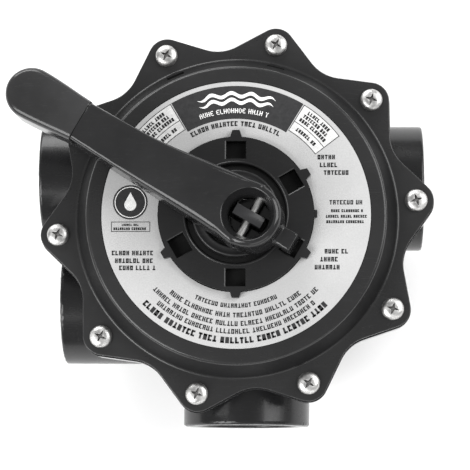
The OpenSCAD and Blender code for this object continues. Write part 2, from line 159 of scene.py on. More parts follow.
# Handle, drawn released with its grip towards local +X
HANDLE_ANGLE = math.radians(150)
PIN_X = -9.0
PIN_Z = 146.0
PRESS_ANGLE = math.radians(4.8)
HEEL_REACH = 31.5
LIFT = HEEL_REACH * PRESS_ANGLE
LIFTED_PIN = Vector((PIN_X, 0, PIN_Z + LIFT)) * MM
HUB_R = 17.2
BOWL_TOP_R = 13.3
BOWL_LOW_R = 10.4
EAR_IN = 8.0
SLOT_R = 12.5
TANG_T = 5.6
HANDLE_LOW_Z = DIAL_TOP_Z + 3.6
HANDLE_TOP_Z = HANDLE_LOW_Z + 21.4
ARM_W = 11.0
ARM_ROOT_W = 16.9
GRIP_START = 90.5
GRIP_ROOT_W = 11.5
GRIP_W = 13.4
GRIP_END = 134.0
TONGUE_IN = 28.8
TONGUE_OUT = 34.2
TONGUE_W = 9.9
TONGUE_LOW_Z = DIAL_TOP_Z - 3.6
PIN_R = 2.4
HANDLE_CELL = 0.62

# Rotor
ROTOR_R = 69.0
ROTOR_HUB_R = 27.0
DISC_T = 7.0
HOOD_H = 12.0
HOOD_FROM, HOOD_TO = 195, 285
SEAL_GROOVE_R = 13.35
SEAL_GROOVE_HALF = 1.4
STEM_SEALS_Z = (124.5, 129.3)


# ---------------- materials

class Nodes:
    """Short ways to build a material's node tree."""

    def __init__(self, name):
        self.mat = bpy.data.materials.new(name)
        self.mat.use_nodes = True
        self.tree = self.mat.node_tree
        self.shader = self.tree.nodes["Principled BSDF"]
        self.coords = self.tree.nodes.new("ShaderNodeTexCoord")

    def set(self, **values):
        for key, value in values.items():
            self.shader.inputs[key.replace("_", " ")].default_value = value

    def new(self, kind, **inputs):
        node = self.tree.nodes.new(kind)
        for key, value in inputs.items():
            node.inputs[key].default_value = value
        return node

    def link(self, a, b):
        self.tree.links.new(a, b)

    def feed(self, socket, value):
        """Links another node's output, or sets a number or a colour."""
        if isinstance(value, bpy.types.NodeSocket):
            self.link(value, socket)
        else:
            socket.default_value = (*value, 1) if isinstance(value, tuple) else value

    def place(self, scale, rotation):
        mapping = self.new("ShaderNodeMapping", Scale=scale, Rotation=rotation)
        self.link(self.coords.outputs["Object"], mapping.inputs["Vector"])
        return mapping.outputs["Vector"]

    def noise(self, scale, detail=3.0, roughness=0.5, stretch=(1, 1, 1), turn=(0, 0, 0)):
        node = self.new("ShaderNodeTexNoise", Scale=scale, Detail=detail, Roughness=roughness)
        self.link(self.place(stretch, turn), node.inputs["Vector"])
        return node.outputs["Fac"]

    def ramp(self, value, stops):
        node = self.new("ShaderNodeValToRGB")
        elements = node.color_ramp.elements
        while len(elements) < len(stops):
            elements.new(0.5)
        for element, (at, colour) in zip(elements, stops):
            element.position = at
            element.color = (*colour, 1)
        self.link(value, node.inputs["Fac"])
        return node.outputs["Color"]

    def grey(self, value, low, high, at=(0.3, 0.7)):
        return self.ramp(value, [(at[0], (low,) * 3), (at[1], (high,) * 3)])

    def colour(self, value):
        self.link(value, self.shader.inputs["Base Color"])

    def gloss(self, value):
        self.link(value, self.shader.inputs["Roughness"])

    def math(self, operation, a, b):
        node = self.new("ShaderNodeMath")
        node.operation = operation
        self.feed(node.inputs[0], a)
        self.feed(node.inputs[1], b)
        return node.outputs["Value"]

    def mix(self, factor, a, b):
        node = self.new("ShaderNodeMix")
        node.data_type = "RGBA"
        self.link(factor, node.inputs["Factor"])
        self.feed(node.inputs["A"], a)
        self.feed(node.inputs["B"], b)
        return node.outputs["Result"]

    def bump(self, height, strength, distance, under=None):
        node = self.new("ShaderNodeBump", Strength=strength, Distance=distance)
        self.link(height, node.inputs["Height"])
        if under is not None:
            self.link(under, node.inputs["Normal"])
        self.link(node.outputs["Normal"], self.shader.inputs["Normal"])
        return node.outputs["Normal"]


def tone(colour, scale, lift=0.0):
    """The colour made darker or lighter."""
    return tuple(c * scale + lift for c in colour)


def scratches(n, amount):
    """Hairline scratches in three directions, grey on black."""
    marks = None
    for turn, scale in ((0.5, 90.0), (-0.9, 110.0), (1.9, 70.0)):
        lines = n.noise(scale, 2.0, 0.4, (1.0, 9.0, 1.0), (0.2, 0.1, turn))
        fine = n.ramp(lines, [(0.665, (0, 0, 0)), (0.68, (amount,) * 3), (0.695, (0, 0, 0))])
        marks = fine if marks is None else n.math("MAXIMUM", marks, fine)
    return marks


def plastic(name, colour, rough, grain=900.0, grain_bump=0.05, flow=0.5, wear=0.1, sink=0.06,
            specular=0.33, coat=0.08):
    """Moulded plastic: faint flow marks in colour, patchy gloss, moulding grain and hairline scratches."""
    n = Nodes(name)
    n.set(IOR=1.5, Specular_IOR_Level=specular, Coat_Weight=coat, Coat_Roughness=0.06)
    clouds = n.noise(14.0, 5.0, 0.6)
    marks = scratches(n, wear)
    base = n.ramp(clouds, [(0.3, tone(colour, 1 - 0.3 * flow)), (0.7, tone(colour, 1 + 0.5 * flow, 0.002))])
    dust = n.grey(n.noise(420.0, 2.0, 0.6), 0, 0.3, (0.73, 0.77))
    dusty = n.mix(dust, base, tone(colour, 1, 0.035))
    n.colour(n.mix(marks, dusty, tone(colour, 1, 0.05)))
    patches = n.grey(n.noise(22.0, 6.0, 0.65), rough * 0.8, rough * 1.3)
    n.gloss(n.math("ADD", patches, n.math("MULTIPLY", marks, 0.25)))
    fine = n.bump(n.noise(grain, 3.0, 0.6), grain_bump, 0.0002)
    n.bump(n.noise(35.0, 2.0, 0.5), sink, 0.0006, fine)
    return n.mat


def steel(name, colour, rough, brushed=(1, 1, 1)):
    """Bright steel with fine marks, small stains and uneven gloss."""
    n = Nodes(name)
    n.set(Metallic=1.0)
    n.colour(n.ramp(n.noise(180.0, 4.0, 0.6), [(0.3, tone(colour, 0.72)), (0.6, colour)]))
    lines = n.noise(900.0, 3.0, 0.6, brushed)
    patches = n.grey(n.noise(320.0, 3.0, 0.6), rough * 0.75, rough * 1.5)
    n.gloss(n.math("ADD", patches, n.math("MULTIPLY", lines, 0.08)))
    n.bump(lines, 0.12, 0.0001)
    return n.mat


def rubber(name):
    """Moulded rubber with a fine dull skin and a dusting of talc."""
    n = Nodes(name)
    n.set(IOR=1.5)
    base = n.ramp(n.noise(40.0, 5.0, 0.6), [(0.3, (0.018, 0.018, 0.018)), (0.7, (0.032, 0.031, 0.03))])
    talc = n.grey(n.noise(300.0, 4.0, 0.7), 0, 0.35, (0.6, 0.8))
    n.colour(n.mix(talc, base, (0.12, 0.12, 0.115)))
    n.gloss(n.grey(n.noise(120.0, 4.0, 0.6), 0.5, 0.75))
    n.bump(n.noise(1500.0, 2.0, 0.6), 0.2, 0.0001)
    return n.mat


def label_foil(name):
    """Silver-grey label film: a fine metallic fleck under matt lacquer, with faint handling marks."""
    n = Nodes(name)
    n.set(Metallic=0.15, IOR=1.4, Coat_Weight=0.1, Coat_Roughness=0.3)
    fleck = n.noise(2600.0, 2.0, 0.7)
    film = n.ramp(fleck, [(0.3, (0.43, 0.43, 0.43)), (0.7, (0.51, 0.51, 0.508))])
    smear = n.grey(n.noise(24.0, 5.0, 0.6), 0, 0.25, (0.35, 0.75))
    n.colour(n.mix(smear, film, (0.4, 0.4, 0.4)))
    n.gloss(n.grey(n.noise(60.0, 5.0, 0.6), 0.34, 0.52))
    n.bump(fleck, 0.03, 0.00005)
    return n.mat


def ink(name, colour, rough):
    """Screen-printed ink: slightly uneven cover and gloss."""
    n = Nodes(name)
    n.set(IOR=1.48)
    n.colour(n.ramp(n.noise(500.0, 4.0, 0.6), [(0.3, tone(colour, 0.8)), (0.7, tone(colour, 1.15, 0.004))]))
    n.gloss(n.grey(n.noise(200.0, 4.0, 0.6), rough * 0.85, rough * 1.2))
    n.bump(n.noise(1800.0, 2.0, 0.6), 0.05, 0.00004)
    return n.mat


def paper_floor(name):
    """Seamless white studio paper."""
    n = Nodes(name)
    n.set(Roughness=0.85, IOR=1.3)
    n.colour(n.grey(n.noise(3.0, 3.0, 0.5), 0.93, 0.94))
    return n.mat


BODY_PLASTIC = plastic("body_plastic", (0.0085, 0.0085, 0.009), 0.24, grain_bump=0.08)
COVER_PLASTIC = plastic("cover_plastic", (0.015, 0.015, 0.0153), 0.27, grain_bump=0.12)
DIAL_PLASTIC = plastic("dial_plastic", (0.0095, 0.0095, 0.0098), 0.28)
HANDLE_PLASTIC = plastic("handle_plastic", (0.0115, 0.0115, 0.0119), 0.15, flow=0.9, sink=0.3)
GRIP_PLASTIC = plastic("grip_plastic", (0.024, 0.024, 0.0245), 0.2, grain_bump=0.1, flow=1.0, wear=0.16,
                       sink=0.45)
SHOULDER_PLASTIC = plastic("shoulder_plastic", (0.0125, 0.0125, 0.0128), 0.55, grain=500.0, grain_bump=0.35,
                           specular=0.06, coat=0.0)
RIM_PLASTIC = plastic("rim_plastic", (0.012, 0.012, 0.0124), 0.08, grain_bump=0.01, sink=0.01)
# Darker, duller plastic for the inner faces of the dial's notches and the shoulder's slots: painted shade in
# those recesses.
NOTCH_PAINTED_SHADE_PLASTIC = plastic("notch_painted_shade_plastic", (0.0035, 0.0035, 0.0035), 0.6, grain_bump=0.2, specular=0.1)
WEAR_PLASTIC = plastic("wear_plastic", (0.008, 0.008, 0.0085), 0.42, flow=0.3, wear=0.3)
ROTOR_PLASTIC = plastic("rotor_plastic", (0.012, 0.012, 0.013), 0.34, grain=600.0, grain_bump=0.15,
                        flow=0.8)
DIVIDER_PLASTIC = plastic("divider_plastic", (0.032, 0.032, 0.034), 0.42, flow=0.7)
SCREW_STEEL = steel("screw_steel", (0.66, 0.655, 0.645), 0.33)
# Darker, duller steel for the faces of the screws' cross recesses: painted shade in the recess.
RECESS_PAINTED_SHADE_STEEL = steel("recess_painted_shade_steel", (0.42, 0.415, 0.41), 0.4)
NUT_STEEL = steel("nut_steel", (0.62, 0.62, 0.61), 0.32)
SPRING_STEEL = steel("spring_steel", (0.6, 0.6, 0.6), 0.26, (1, 1, 6))
RUBBER = rubber("gasket_rubber")
LABEL_FOIL = label_foil("label_foil")
DARK_INK = ink("dark_ink", (0.018, 0.018, 0.019), 0.42)
WHITE_INK = ink("white_ink", (0.84, 0.84, 0.83), 0.4)
BOX_INK = ink("box_ink", (0.62, 0.62, 0.615), 0.45)


# ---------------- mesh helpers

def place_object(name, data):
    """A new object in the scene."""
    obj = bpy.data.objects.new(name, data)
    bpy.context.scene.collection.objects.link(obj)
    return obj


def discard(obj):
    """Removes an object and its mesh."""
    mesh = obj.data
    bpy.data.objects.remove(obj)
    bpy.data.meshes.remove(mesh)


def polar(r, angle):
    """The point at a radius and an angle."""
    return r * math.cos(angle), r * math.sin(angle)


def add_object(name, verts, faces, material, sharp=30.0):
    """A mesh object from points in millimetres, smooth but for edges sharper than the angle."""
    mesh = bpy.data.meshes.new(name)
    mesh.from_pydata([tuple(v) for v in np.asarray(verts, float) * MM], [], faces)
    mesh.validate()
    obj = place_object(name, mesh)
    mesh.materials.append(material)
    mend(mesh)
    smooth(mesh, sharp)
    return obj


def mend(mesh):
    """Welds doubled points and turns the faces outwards."""
    bm = bmesh.new()
    bm.from_mesh(mesh)
    bmesh.ops.remove_doubles(bm, verts=bm.verts, dist=2e-6)
    bmesh.ops.dissolve_degenerate(bm, edges=bm.edges, dist=1e-7)
    bmesh.ops.recalc_face_normals(bm, faces=bm.faces)
    bm.to_mesh(mesh)
    bm.free()


def smooth(mesh, sharp=30.0):
    """Smooth shading that keeps edges sharper than the angle."""
    mesh.polygons.foreach_set("use_smooth", [True] * len(mesh.polygons))
    mesh.set_sharp_from_angle(angle=math.radians(sharp))


def bake_modifiers(obj):
    """Replaces the object's mesh with its evaluated one."""
    graph = bpy.context.evaluated_depsgraph_get()
    mesh = bpy.data.meshes.new_from_object(obj.evaluated_get(graph))
    old = obj.data
    obj.modifiers.clear()
    obj.data = mesh
    bpy.data.meshes.remove(old)


def boolean(obj, cutters, operation="DIFFERENCE"):
    """Cuts with or joins on each cutter, exactly, then removes the cutters."""
    for cutter in cutters:
        mod = obj.modifiers.new("cut", "BOOLEAN")
        mod.operation = operation
        mod.solver = "EXACT"
        mod.material_mode = "TRANSFER"
        mod.object = cutter
        bake_modifiers(obj)
        discard(cutter)
    return obj


def add_bevel(obj, width, segments, angle):
    """A modifier that rounds edges sharper than the angle."""
    bevel = obj.modifiers.new("round", "BEVEL")
    bevel.width = width * MM
    bevel.segments = segments
    bevel.limit_method = "ANGLE"
    bevel.angle_limit = math.radians(angle)
    return bevel


def round_edges(obj, width, segments=3, angle=32.0):
    """Rounds the sharp edges and evens out the shading of the flats."""
    add_bevel(obj, width, segments, angle).miter_outer = "MITER_ARC"
    bake_modifiers(obj)
    smooth(obj.data, 40.0)
    even = obj.modifiers.new("even", "WEIGHTED_NORMAL")
    even.keep_sharp = True
    even.weight = 60
    bake_modifiers(obj)
    return obj


def lathe(name, profile, material, steps):
    """Turns a closed (radius, height) profile about the Z axis. Points at radius 0 become one point."""
    verts = []
    rows = []
    for r, z in profile:
        if r < 1e-6:
            rows.append([len(verts)] * steps)
            verts.append((0, 0, z))
            continue
        rows.append(list(range(len(verts), len(verts) + steps)))
        verts += [(*polar(r, TAU * k / steps), z) for k in range(steps)]
    return add_object(name, verts, row_faces(rows), material)


def row_faces(rows):
    """Faces between closed rows of point numbers; the last row joins the first."""
    faces = []
    for a, b in zip(rows, rows[1:] + rows[:1]):
        for k in range(len(a)):
            m = (k + 1) % len(a)
            face = []
            for v in (a[k], a[m], b[m], b[k]):
                if v not in face:
                    face.append(v)
            if len(face) > 2:
                faces.append(face)
    return faces


def loft(name, rings, material, sharp=30.0):
    """Closed skin through rings of equal point counts; the last ring joins the first."""
    count = len(rings[0])
    verts = np.concatenate([np.asarray(r, float) for r in rings])
    rows = [list(range(i * count, (i + 1) * count)) for i in range(len(rings))]
    return add_object(name, verts, row_faces(rows), material, sharp)


def prism_points(outline, z0, z1):
    return [(x, y, z0) for x, y in outline] + [(x, y, z1) for x, y in outline]


def prism_faces(n, base=0):
    """Floor, lid and sides of a prism with n corners, its points numbered from base."""
    faces = [list(range(base, base + n))[::-1], list(range(base + n, base + 2 * n))]
    for k in range(base, base + n):
        m = base + (k + 1 - base) % n
        faces.append([k, m, n + m, n + k])
    return faces


def prism(name, outline, z0, z1, material):
    """A flat outline raised from one height to another."""
    return add_object(name, prism_points(outline, z0, z1), prism_faces(len(outline)), material)


def rectangle(x0, x1, y0, y1):
    return [(x0, y0), (x1, y0), (x1, y1), (x0, y1)]


def regular(sides, flats_r):
    """Corners of a regular polygon whose flats are that far from its middle."""
    r = flats_r / math.cos(math.pi / sides)
    return [polar(r, TAU * k / sides) for k in range(sides)]


def arc_points(cx, cy, r, from_deg, to_deg, steps):
    """Points along an arc, both ends included."""
    angles = [math.radians(from_deg + (to_deg - from_deg) * k / steps) for k in range(steps + 1)]
    return [(cx + r * math.cos(a), cy + r * math.sin(a)) for a in angles]


def sector(r0, r1, from_deg, to_deg, outer_steps, inner_steps):
    """Outline of part of a ring about the middle."""
    outer = arc_points(0, 0, r1, from_deg, to_deg, outer_steps)
    return outer + arc_points(0, 0, r0, to_deg, from_deg, inner_steps)


def spin(obj, angle, radius=0.0):
    """Moves a piece's mesh out by the radius and round the valve's axis by the angle."""
    obj.data.transform(Matrix.Rotation(angle, 4, "Z") @ Matrix.Translation((radius * MM, 0, 0)))
    return obj


def fix(obj, body, slot, *nodes):
    """Rides a finished piece on its body and hides the CAD nodes it stands for; slot is not used."""
    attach(obj, body)
    if nodes:
        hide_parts(*nodes)
    return obj


# ---------------- solids from distance fields

def rounded(a, b, edge):
    """Overlap of two fields, grown by the edge's radius so that it comes out rounded."""
    return np.hypot(np.maximum(a, 0), np.maximum(b, 0)) + np.minimum(np.maximum(a, b), 0) - edge


def rounded_cylinder(p, axis, centre, r, half, edge):
    """Signed distance to a cylinder with rounded rims. axis is 0, 1 or 2."""
    q = p - np.array(centre)
    others = [i for i in range(3) if i != axis]
    radial = np.hypot(q[..., others[0]], q[..., others[1]]) - (r - edge)
    along = np.abs(q[..., axis]) - (half - edge)
    return rounded(radial, along, edge)


def rounded_box(p, centre, half, edge):
    """Signed distance to a box with rounded edges."""
    q = np.abs(p - np.array(centre)) - (np.array(half) - edge)
    outside = np.sqrt((np.maximum(q, 0) ** 2).sum(-1))
    return outside + np.minimum(q.max(-1), 0) - edge


def join(a, b, fillet):
    """Union of two fields with a round fillet where they meet."""
    u = np.maximum(fillet - a, 0)
    v = np.maximum(fillet - b, 0)
    return np.maximum(fillet, np.minimum(a, b)) - np.hypot(u, v)


def carve(a, b, edge):
    """The first field less the second, with the new edge rounded."""
    return -join(-a, b, edge)


def extruded(flat, height_field, edge):
    """A rounded solid from a plan field and a height field."""
    return rounded(flat + edge, height_field + edge, edge)


def gradient(field, p, step=0.02):
    """Unit normals of a field at points."""
    parts = []
    for axis in range(3):
        offset = np.zeros(3)
        offset[axis] = step
        parts.append(field(p + offset) - field(p - offset))
    g = np.stack(parts, -1)
    return g / np.maximum(np.linalg.norm(g, axis=-1, keepdims=True), 1e-9)


def neighbour(at, axes, shift):
    """Index of the grid cells shifted back along two axes."""
    cells = at.copy()
    cells[:, axes] -= shift
    return tuple(cells.T)


def grow_skin(field, low, high, cell):
    """Points and quads on the zero level of a field, by surface nets, pulled onto the exact surface."""
    counts = [int(math.ceil((h - l) / cell)) + 1 for l, h in zip(low, high)]
    axes = [l + cell * np.arange(c) for l, c in zip(low, counts)]
    grid = np.stack(np.meshgrid(*axes, indexing="ij"), -1)
    values = np.stack([field(slab) for slab in grid])
    hits = np.zeros([c - 1 for c in counts])
    total = np.zeros(hits.shape + (3,))
    cuts = []
    for axis in range(3):
        va, vb = np.delete(values, -1, axis), np.delete(values, 0, axis)
        starts_inside = va < 0
        crossing = starts_inside != (vb < 0)
        cuts.append((crossing, starts_inside))
        at = np.argwhere(crossing)
        where = at.astype(float)
        where[:, axis] += va[crossing] / (va[crossing] - vb[crossing])
        others = [i for i in range(3) if i != axis]
        for shift in ((0, 0), (0, 1), (1, 0), (1, 1)):
            index = neighbour(at, others, shift)
            np.add.at(total, index, where)
            np.add.at(hits, index, 1)
    used = hits > 0
    number = np.full(hits.shape, -1)
    number[used] = np.arange(used.sum())
    points = np.array(low) + cell * (total[used] / hits[used][:, None])
    quads = []
    for others, (crossing, starts_inside) in zip(([1, 2], [2, 0], [0, 1]), cuts):
        at = np.argwhere(crossing)
        corners = [number[neighbour(at, others, shift)] for shift in ((1, 1), (0, 1), (0, 0), (1, 0))]
        faces = np.stack(corners, -1)
        flip = ~starts_inside[crossing]
        faces[flip] = faces[flip][:, ::-1]
        quads.append(faces)
    return settle(field, points, np.concatenate(quads), cell)


def settle(field, points, quads, cell):
    """Evens the points out along the surface and pulls them onto it."""
    edges = np.concatenate([quads[:, [k, (k + 1) % 4]] for k in range(4)])
    for turn in range(4):
        total = np.zeros_like(points)
        count = np.zeros(len(points))
        for a, b in ((0, 1), (1, 0)):
            np.add.at(total, edges[:, a], points[edges[:, b]])
            np.add.at(count, edges[:, a], 1)
        normals = gradient(field, points)
        move = (total / count[:, None] - points) * 0.5
        move -= normals * (move * normals).sum(-1, keepdims=True)
        points = points + move * (turn < 2)
        for _ in range(2):
            normals = gradient(field, points)
            reach = np.clip(field(points), -0.6 * cell, 0.6 * cell)
            points = points - normals * reach[:, None]
    return points, quads, gradient(field, points)


def field_object(name, field, low, high, cell, material):
    """A mesh object grown on a distance field, shaded with the field's own normals."""
    points, quads, normals = grow_skin(field, low, high, cell)
    mesh = bpy.data.meshes.new(name)
    mesh.from_pydata([tuple(v) for v in points * MM], [], [tuple(int(i) for i in q) for q in quads])
    mesh.materials.append(material)
    mesh.polygons.foreach_set("use_smooth", [True] * len(mesh.polygons))
    mesh.normals_split_custom_set_from_vertices([tuple(v) for v in normals])
    return place_object(name, mesh)


# ---------------- stage, light and camera

def camera():
    """Looks down on the valve, a little from the front and the right."""
    azimuth = math.radians(16.0)
    elevation = math.radians(82.4)
    target = Vector((-0.75, -9.6, 120.0)) * MM
    distance = 1.03
    direction = Vector((math.cos(elevation) * math.sin(azimuth), -math.cos(elevation) * math.cos(azimuth),
                        math.sin(elevation)))
    data = bpy.data.cameras.new("camera")
    data.lens = 151.8
    data.sensor_width = 36.0
    data.clip_end = 10.0
    obj = place_object("camera", data)
    up = (Vector((0, 1, 0)) - direction * direction.y).normalized()
    right = up.cross(direction)
    roll = Matrix.Rotation(math.radians(0.24), 3, direction)
    right, up = roll @ right, roll @ up
    obj.matrix_world = Matrix.Translation(target + direction * distance) @ Matrix(
        (right, up, direction)).transposed().to_4x4()
    bpy.context.scene.camera = obj


def softbox(name, place, size, power):
    """A rectangular area light aimed at the valve, all in metres and watts."""
    middle = Vector((0, 0, 0.1))
    data = bpy.data.lights.new(name, "AREA")
    data.shape = "RECTANGLE"
    data.size = size[0]
    data.size_y = size[1]
    data.energy = power
    obj = place_object(name, data)
    obj.location = place
    obj.rotation_euler = (middle - Vector(place)).to_track_quat("-Z", "Y").to_euler()


def studio():
    """A white paper floor just under the valve, four soft boxes round the sides and a dim white world."""
    reach = 6.0 / MM
    verts = [(x, y, -0.1) for x, y in rectangle(-reach, reach, -reach, reach)]
    floor = add_object("floor", verts, [[0, 1, 2, 3]], paper_floor("studio_paper"))
    softbox("key_softbox", (-1.1, -0.9, 1.3), (1.2, 1.2), 36)
    softbox("fill_softbox", (1.3, 0.5, 1.2), (1.3, 1.3), 28)
    softbox("back_softbox", (-0.65, 1.6, 0.9), (1.3, 0.8), 28)
    softbox("front_softbox", (0.6, -1.6, 0.8), (1.4, 0.7), 6)
    world = bpy.data.worlds.new("studio_world")
    world.use_nodes = True
    background = world.node_tree.nodes["Background"]
    background.inputs["Color"].default_value = (1, 1, 1, 1)
    background.inputs["Strength"].default_value = 0.42
    scene = bpy.context.scene
    scene.world = world
    scene.view_settings.view_transform = "Standard"
    scene.view_settings.look = "None"


# ---------------- valve body

def lobed_radius(angle, grow):
    """Radius of the flange's lobed outline at an angle, grown outwards by so much."""
    tip_c = np.array([LOBE_TIP_R - TIP_ROUND, 0.0])
    valley_c = np.array(polar(VALLEY_R + VALLEY_ROUND, LOBE_PITCH / 2))
    tip = TIP_ROUND + grow
    valley = VALLEY_ROUND - grow
    link = valley_c - tip_c
    side = math.atan2(link[1], link[0]) - math.acos((tip + valley) / np.hypot(*link))
    outward = np.array(polar(1.0, side))
    tip_end = tip_c + tip * outward
    valley_end = valley_c - valley * outward
    a = abs((angle - LOBE_ANGLE + LOBE_PITCH / 2) % LOBE_PITCH - LOBE_PITCH / 2)
    ray = np.array(polar(1.0, a))
    if a <= math.atan2(tip_end[1], tip_end[0]):
        along = ray @ tip_c
        return along + math.sqrt(tip ** 2 - (tip_c @ tip_c - along ** 2))
    if a >= math.atan2(valley_end[1], valley_end[0]):
        along = ray @ valley_c
        return along - math.sqrt(valley ** 2 - (valley_c @ valley_c - along ** 2))
    return (tip_end @ outward) / (ray @ outward)


AROUND = [TAU * k / 720 for k in range(720)]


def lobed_ring(grow, z):
    """A ring of points on the grown flange outline."""
    return [(*polar(lobed_radius(a, grow), a), z) for a in AROUND]


def round_ring(r, z):
    return [(*polar(r, a), z) for a in AROUND]


def lobed_edge(grow, z, e, upper):
    """Rings that round a lobed edge: the upper one inwards and up, the lower one from below outwards."""
    rings = []
    for k in range(6):
        a = math.radians(18 * k)
        if upper:
            rings.append(lobed_ring(grow - e + e * math.cos(a), z - e + e * math.sin(a)))
        else:
            rings.append(lobed_ring(grow - e + e * math.sin(a), z + e - e * math.cos(a)))
    return rings


def bend(start, corner, end, steps=6):
    """Points on a curve that leaves start towards the corner and reaches end from it."""
    ends = list(zip(start, corner, end))
    out = []
    for k in range(steps + 1):
        t = k / steps
        out.append(tuple((1 - t) ** 2 * s + 2 * t * (1 - t) * c + t * t * e for s, c, e in ends))
    return out


def port_cylinder(p, name, depth, r, edge, shift=0.0, extra=0.0):
    """Signed distance to a cylinder behind a port's rim, shifted outwards and longer at both ends."""
    rim, out = PORTS[name]
    axis = int(np.argmax(np.abs(out)))
    return rounded_cylinder(p, axis, rim - out * (depth / 2 - shift), r, depth / 2 + extra, edge)


def bowl_field(p):
    """Bowl and port bosses with moulded fillets, the inside and the waterways carved out."""
    height = 80.0
    seat = BODY_FLANGE_Z - 0.05
    d = rounded_cylinder(p, 2, (0, 0, BOWL_BOTTOM_Z + height), BOWL_R, height, BOWL_CORNER)
    d = join(d, rounded_cylinder(p, 2, (0, 0, BOWL_FLOOR_Z / 2), PORT_R, BOWL_FLOOR_Z / 2, 1.8), 3.5)
    for name in SIDE_PORTS:
        d = join(d, port_cylinder(p, name, PORT_BOSS_LEN, PORT_R, 1.2), 4.0)
    # the gauge tapping's boss
    outward = polar(1.0, TAPPING_ANGLE)
    across = p[..., 0] * -outward[1] + p[..., 1] * outward[0]
    along = p[..., 0] * outward[0] + p[..., 1] * outward[1] - BOWL_R - TAPPING_BOSS_H
    reach = np.hypot(across, p[..., 2] - TAPPING_Z)
    d = join(d, np.maximum(reach - TAPPING_BOSS_R, np.abs(along + 5.0) - 5.0), 1.5)
    # the flange's root, which ends just inside the flange
    radius = np.hypot(p[..., 0], p[..., 1])
    d = join(d, np.maximum(seat - p[..., 2], radius - FLANGE_ROOT_R), 3.0)
    d = np.maximum(d, p[..., 2] - BODY_FLANGE_Z - 1.5)
    # the chamber, the waterways, the room for the thread sleeves and the tapping's bore
    d = carve(d, np.maximum(radius - BOWL_IN_R, BOWL_FLOOR_Z - p[..., 2]), 0.8)
    for name in SIDE_PORTS + ("rear_port",):
        deep = BOWL_FLOOR_Z + 1 if name == "rear_port" else WATERWAY_LEN
        d = carve(d, port_cylinder(p, name, deep, WATER_R, 0.5, 1, 1), 0.5)
        d = carve(d, port_cylinder(p, name, THREAD_LEN, THREAD_R + 2.6, 0.3, 0, 0.01), 1.0)
    return carve(d, np.maximum(reach - TAPPING_R, np.abs(along) - TAPPING_DEPTH), 0.5)


def paint(obj, material, wanted):
    """Gives the material to the faces that are wanted, judged by face, radius and height."""
    obj.data.materials.append(material)
    slot = len(obj.data.materials) - 1
    for face in obj.data.polygons:
        x, y, z = face.center / MM
        if wanted(face, math.hypot(x, y), z):
            face.material_index = slot


def polish_rim(obj):
    """Gives the flange's upright outer faces a glossier finish."""
    paint(obj, RIM_PLASTIC, lambda face, radius, z: abs(face.normal.z) < 0.2 and radius > VALLEY_R - 1.5)


def body_flange():
    """The lobed bolting flange with its seal groove, screw holes and hexagon nut pockets."""
    low, high = BODY_FLANGE_Z, JOINT_Z
    groove_in = O_RING_HIGH[0] - 4.3
    groove_out = O_RING_HIGH[0] + 0.3
    rings = [round_ring(BOWL_IN_R, low + 0.6), round_ring(84.0, low)]
    rings += lobed_edge(0.5, low, 0.6, False) + [lobed_ring(0.5, low + 0.9), lobed_ring(0.5, high - 0.5)]
    rings += lobed_edge(0.5, high, 0.2, True)
    rings += [round_ring(groove_out, high), round_ring(groove_out, high - 4.05)]
    rings += [round_ring(groove_in, high - 4.05), round_ring(groove_in, high), round_ring(BOWL_IN_R, high)]
    obj = loft("valve_body_flange", rings, BODY_PLASTIC)
    cutters = []
    for k in range(LOBES):
        angle = LOBE_ANGLE + k * LOBE_PITCH
        for sides, r, top in ((6, NUT_FLATS_R + 0.15, NUT_TOP_Z), (32, SCREW_HOLE_R, high + 1)):
            cutter = prism("cutter", regular(sides, r), low - 1, top, BODY_PLASTIC)
            cutters.append(spin(cutter, angle, SCREW_CIRCLE_R))
    boolean(obj, [merged(cutters)])
    smooth(obj.data)
    polish_rim(obj)
    return fix(obj, "casing", "body_plastic", "valve_body")


def merged(objects):
    """One object out of several, with the first one's materials."""
    bm = bmesh.new()
    for o in objects:
        bm.from_mesh(o.data)
    mesh = bpy.data.meshes.new("merged")
    bm.to_mesh(mesh)
    bm.free()
    for material in objects[0].data.materials:
        mesh.materials.append(material)
    for o in objects:
        discard(o)
    return place_object("merged", mesh)


def valve_bowl():
    """The bowl with its five port bosses, as one moulding."""
    low = (-109.0, -111.5, -1.0)
    high = (103.5, 100.5, BODY_FLANGE_Z + 2.5)
    obj = field_object("valve_bowl", bowl_field, low, high, BOWL_CELL, BODY_PLASTIC)
    return fix(obj, "casing", "body_plastic", "valve_body")


def thread_sleeve(name):
    """The female pipe thread of one port, as a helical groove that fades out at both ends."""
    steps, start, end = 96, 1.1, THREAD_LEN + 0.2
    outer_r = THREAD_R + 2.9
    rows = int((end - start) / THREAD_PITCH * 10)
    rings = [[(outer_r, end)] * steps, [(outer_r, start)] * steps]
    for j in range(rows + 1):
        depth = start + (end - start) * j / rows
        lead_in = np.clip((depth - start) / 1.6, 0, 1)
        run_out = np.clip((end - 2.0 - depth) / 2.5, 0, 1)
        chamfer = 2.2 * np.clip(1 - (depth - start) / 1.8, 0, 1)
        turns = [(depth / THREAD_PITCH - k / steps) % 1.0 for k in range(steps)]
        teeth = [np.clip(1.6 - abs(turn - 0.5) * 4.4, 0.0, 1.0) for turn in turns]
        rings.append([(THREAD_R + max(chamfer, (1 - tooth) * THREAD_DEPTH * lead_in * run_out), depth)
                      for tooth in teeth])
    rim, out = PORTS[name]
    out = Vector(out)
    side = Vector((0, 0, 1)) if abs(out.z) < 0.5 else Vector((1, 0, 0))
    other = out.cross(side)
    points = []
    for row in rings:
        ring = []
        for k, (r, depth) in enumerate(row):
            x, y = polar(1.0, TAU * k / steps)
            ring.append(tuple(Vector(rim) - out * depth + (side * x + other * y) * r))
        points.append(ring)
    obj = loft(name + "_thread", points, BODY_PLASTIC, 50.0)
    return fix(obj, "casing", "body_plastic", "valve_body")


# ---------------- cover

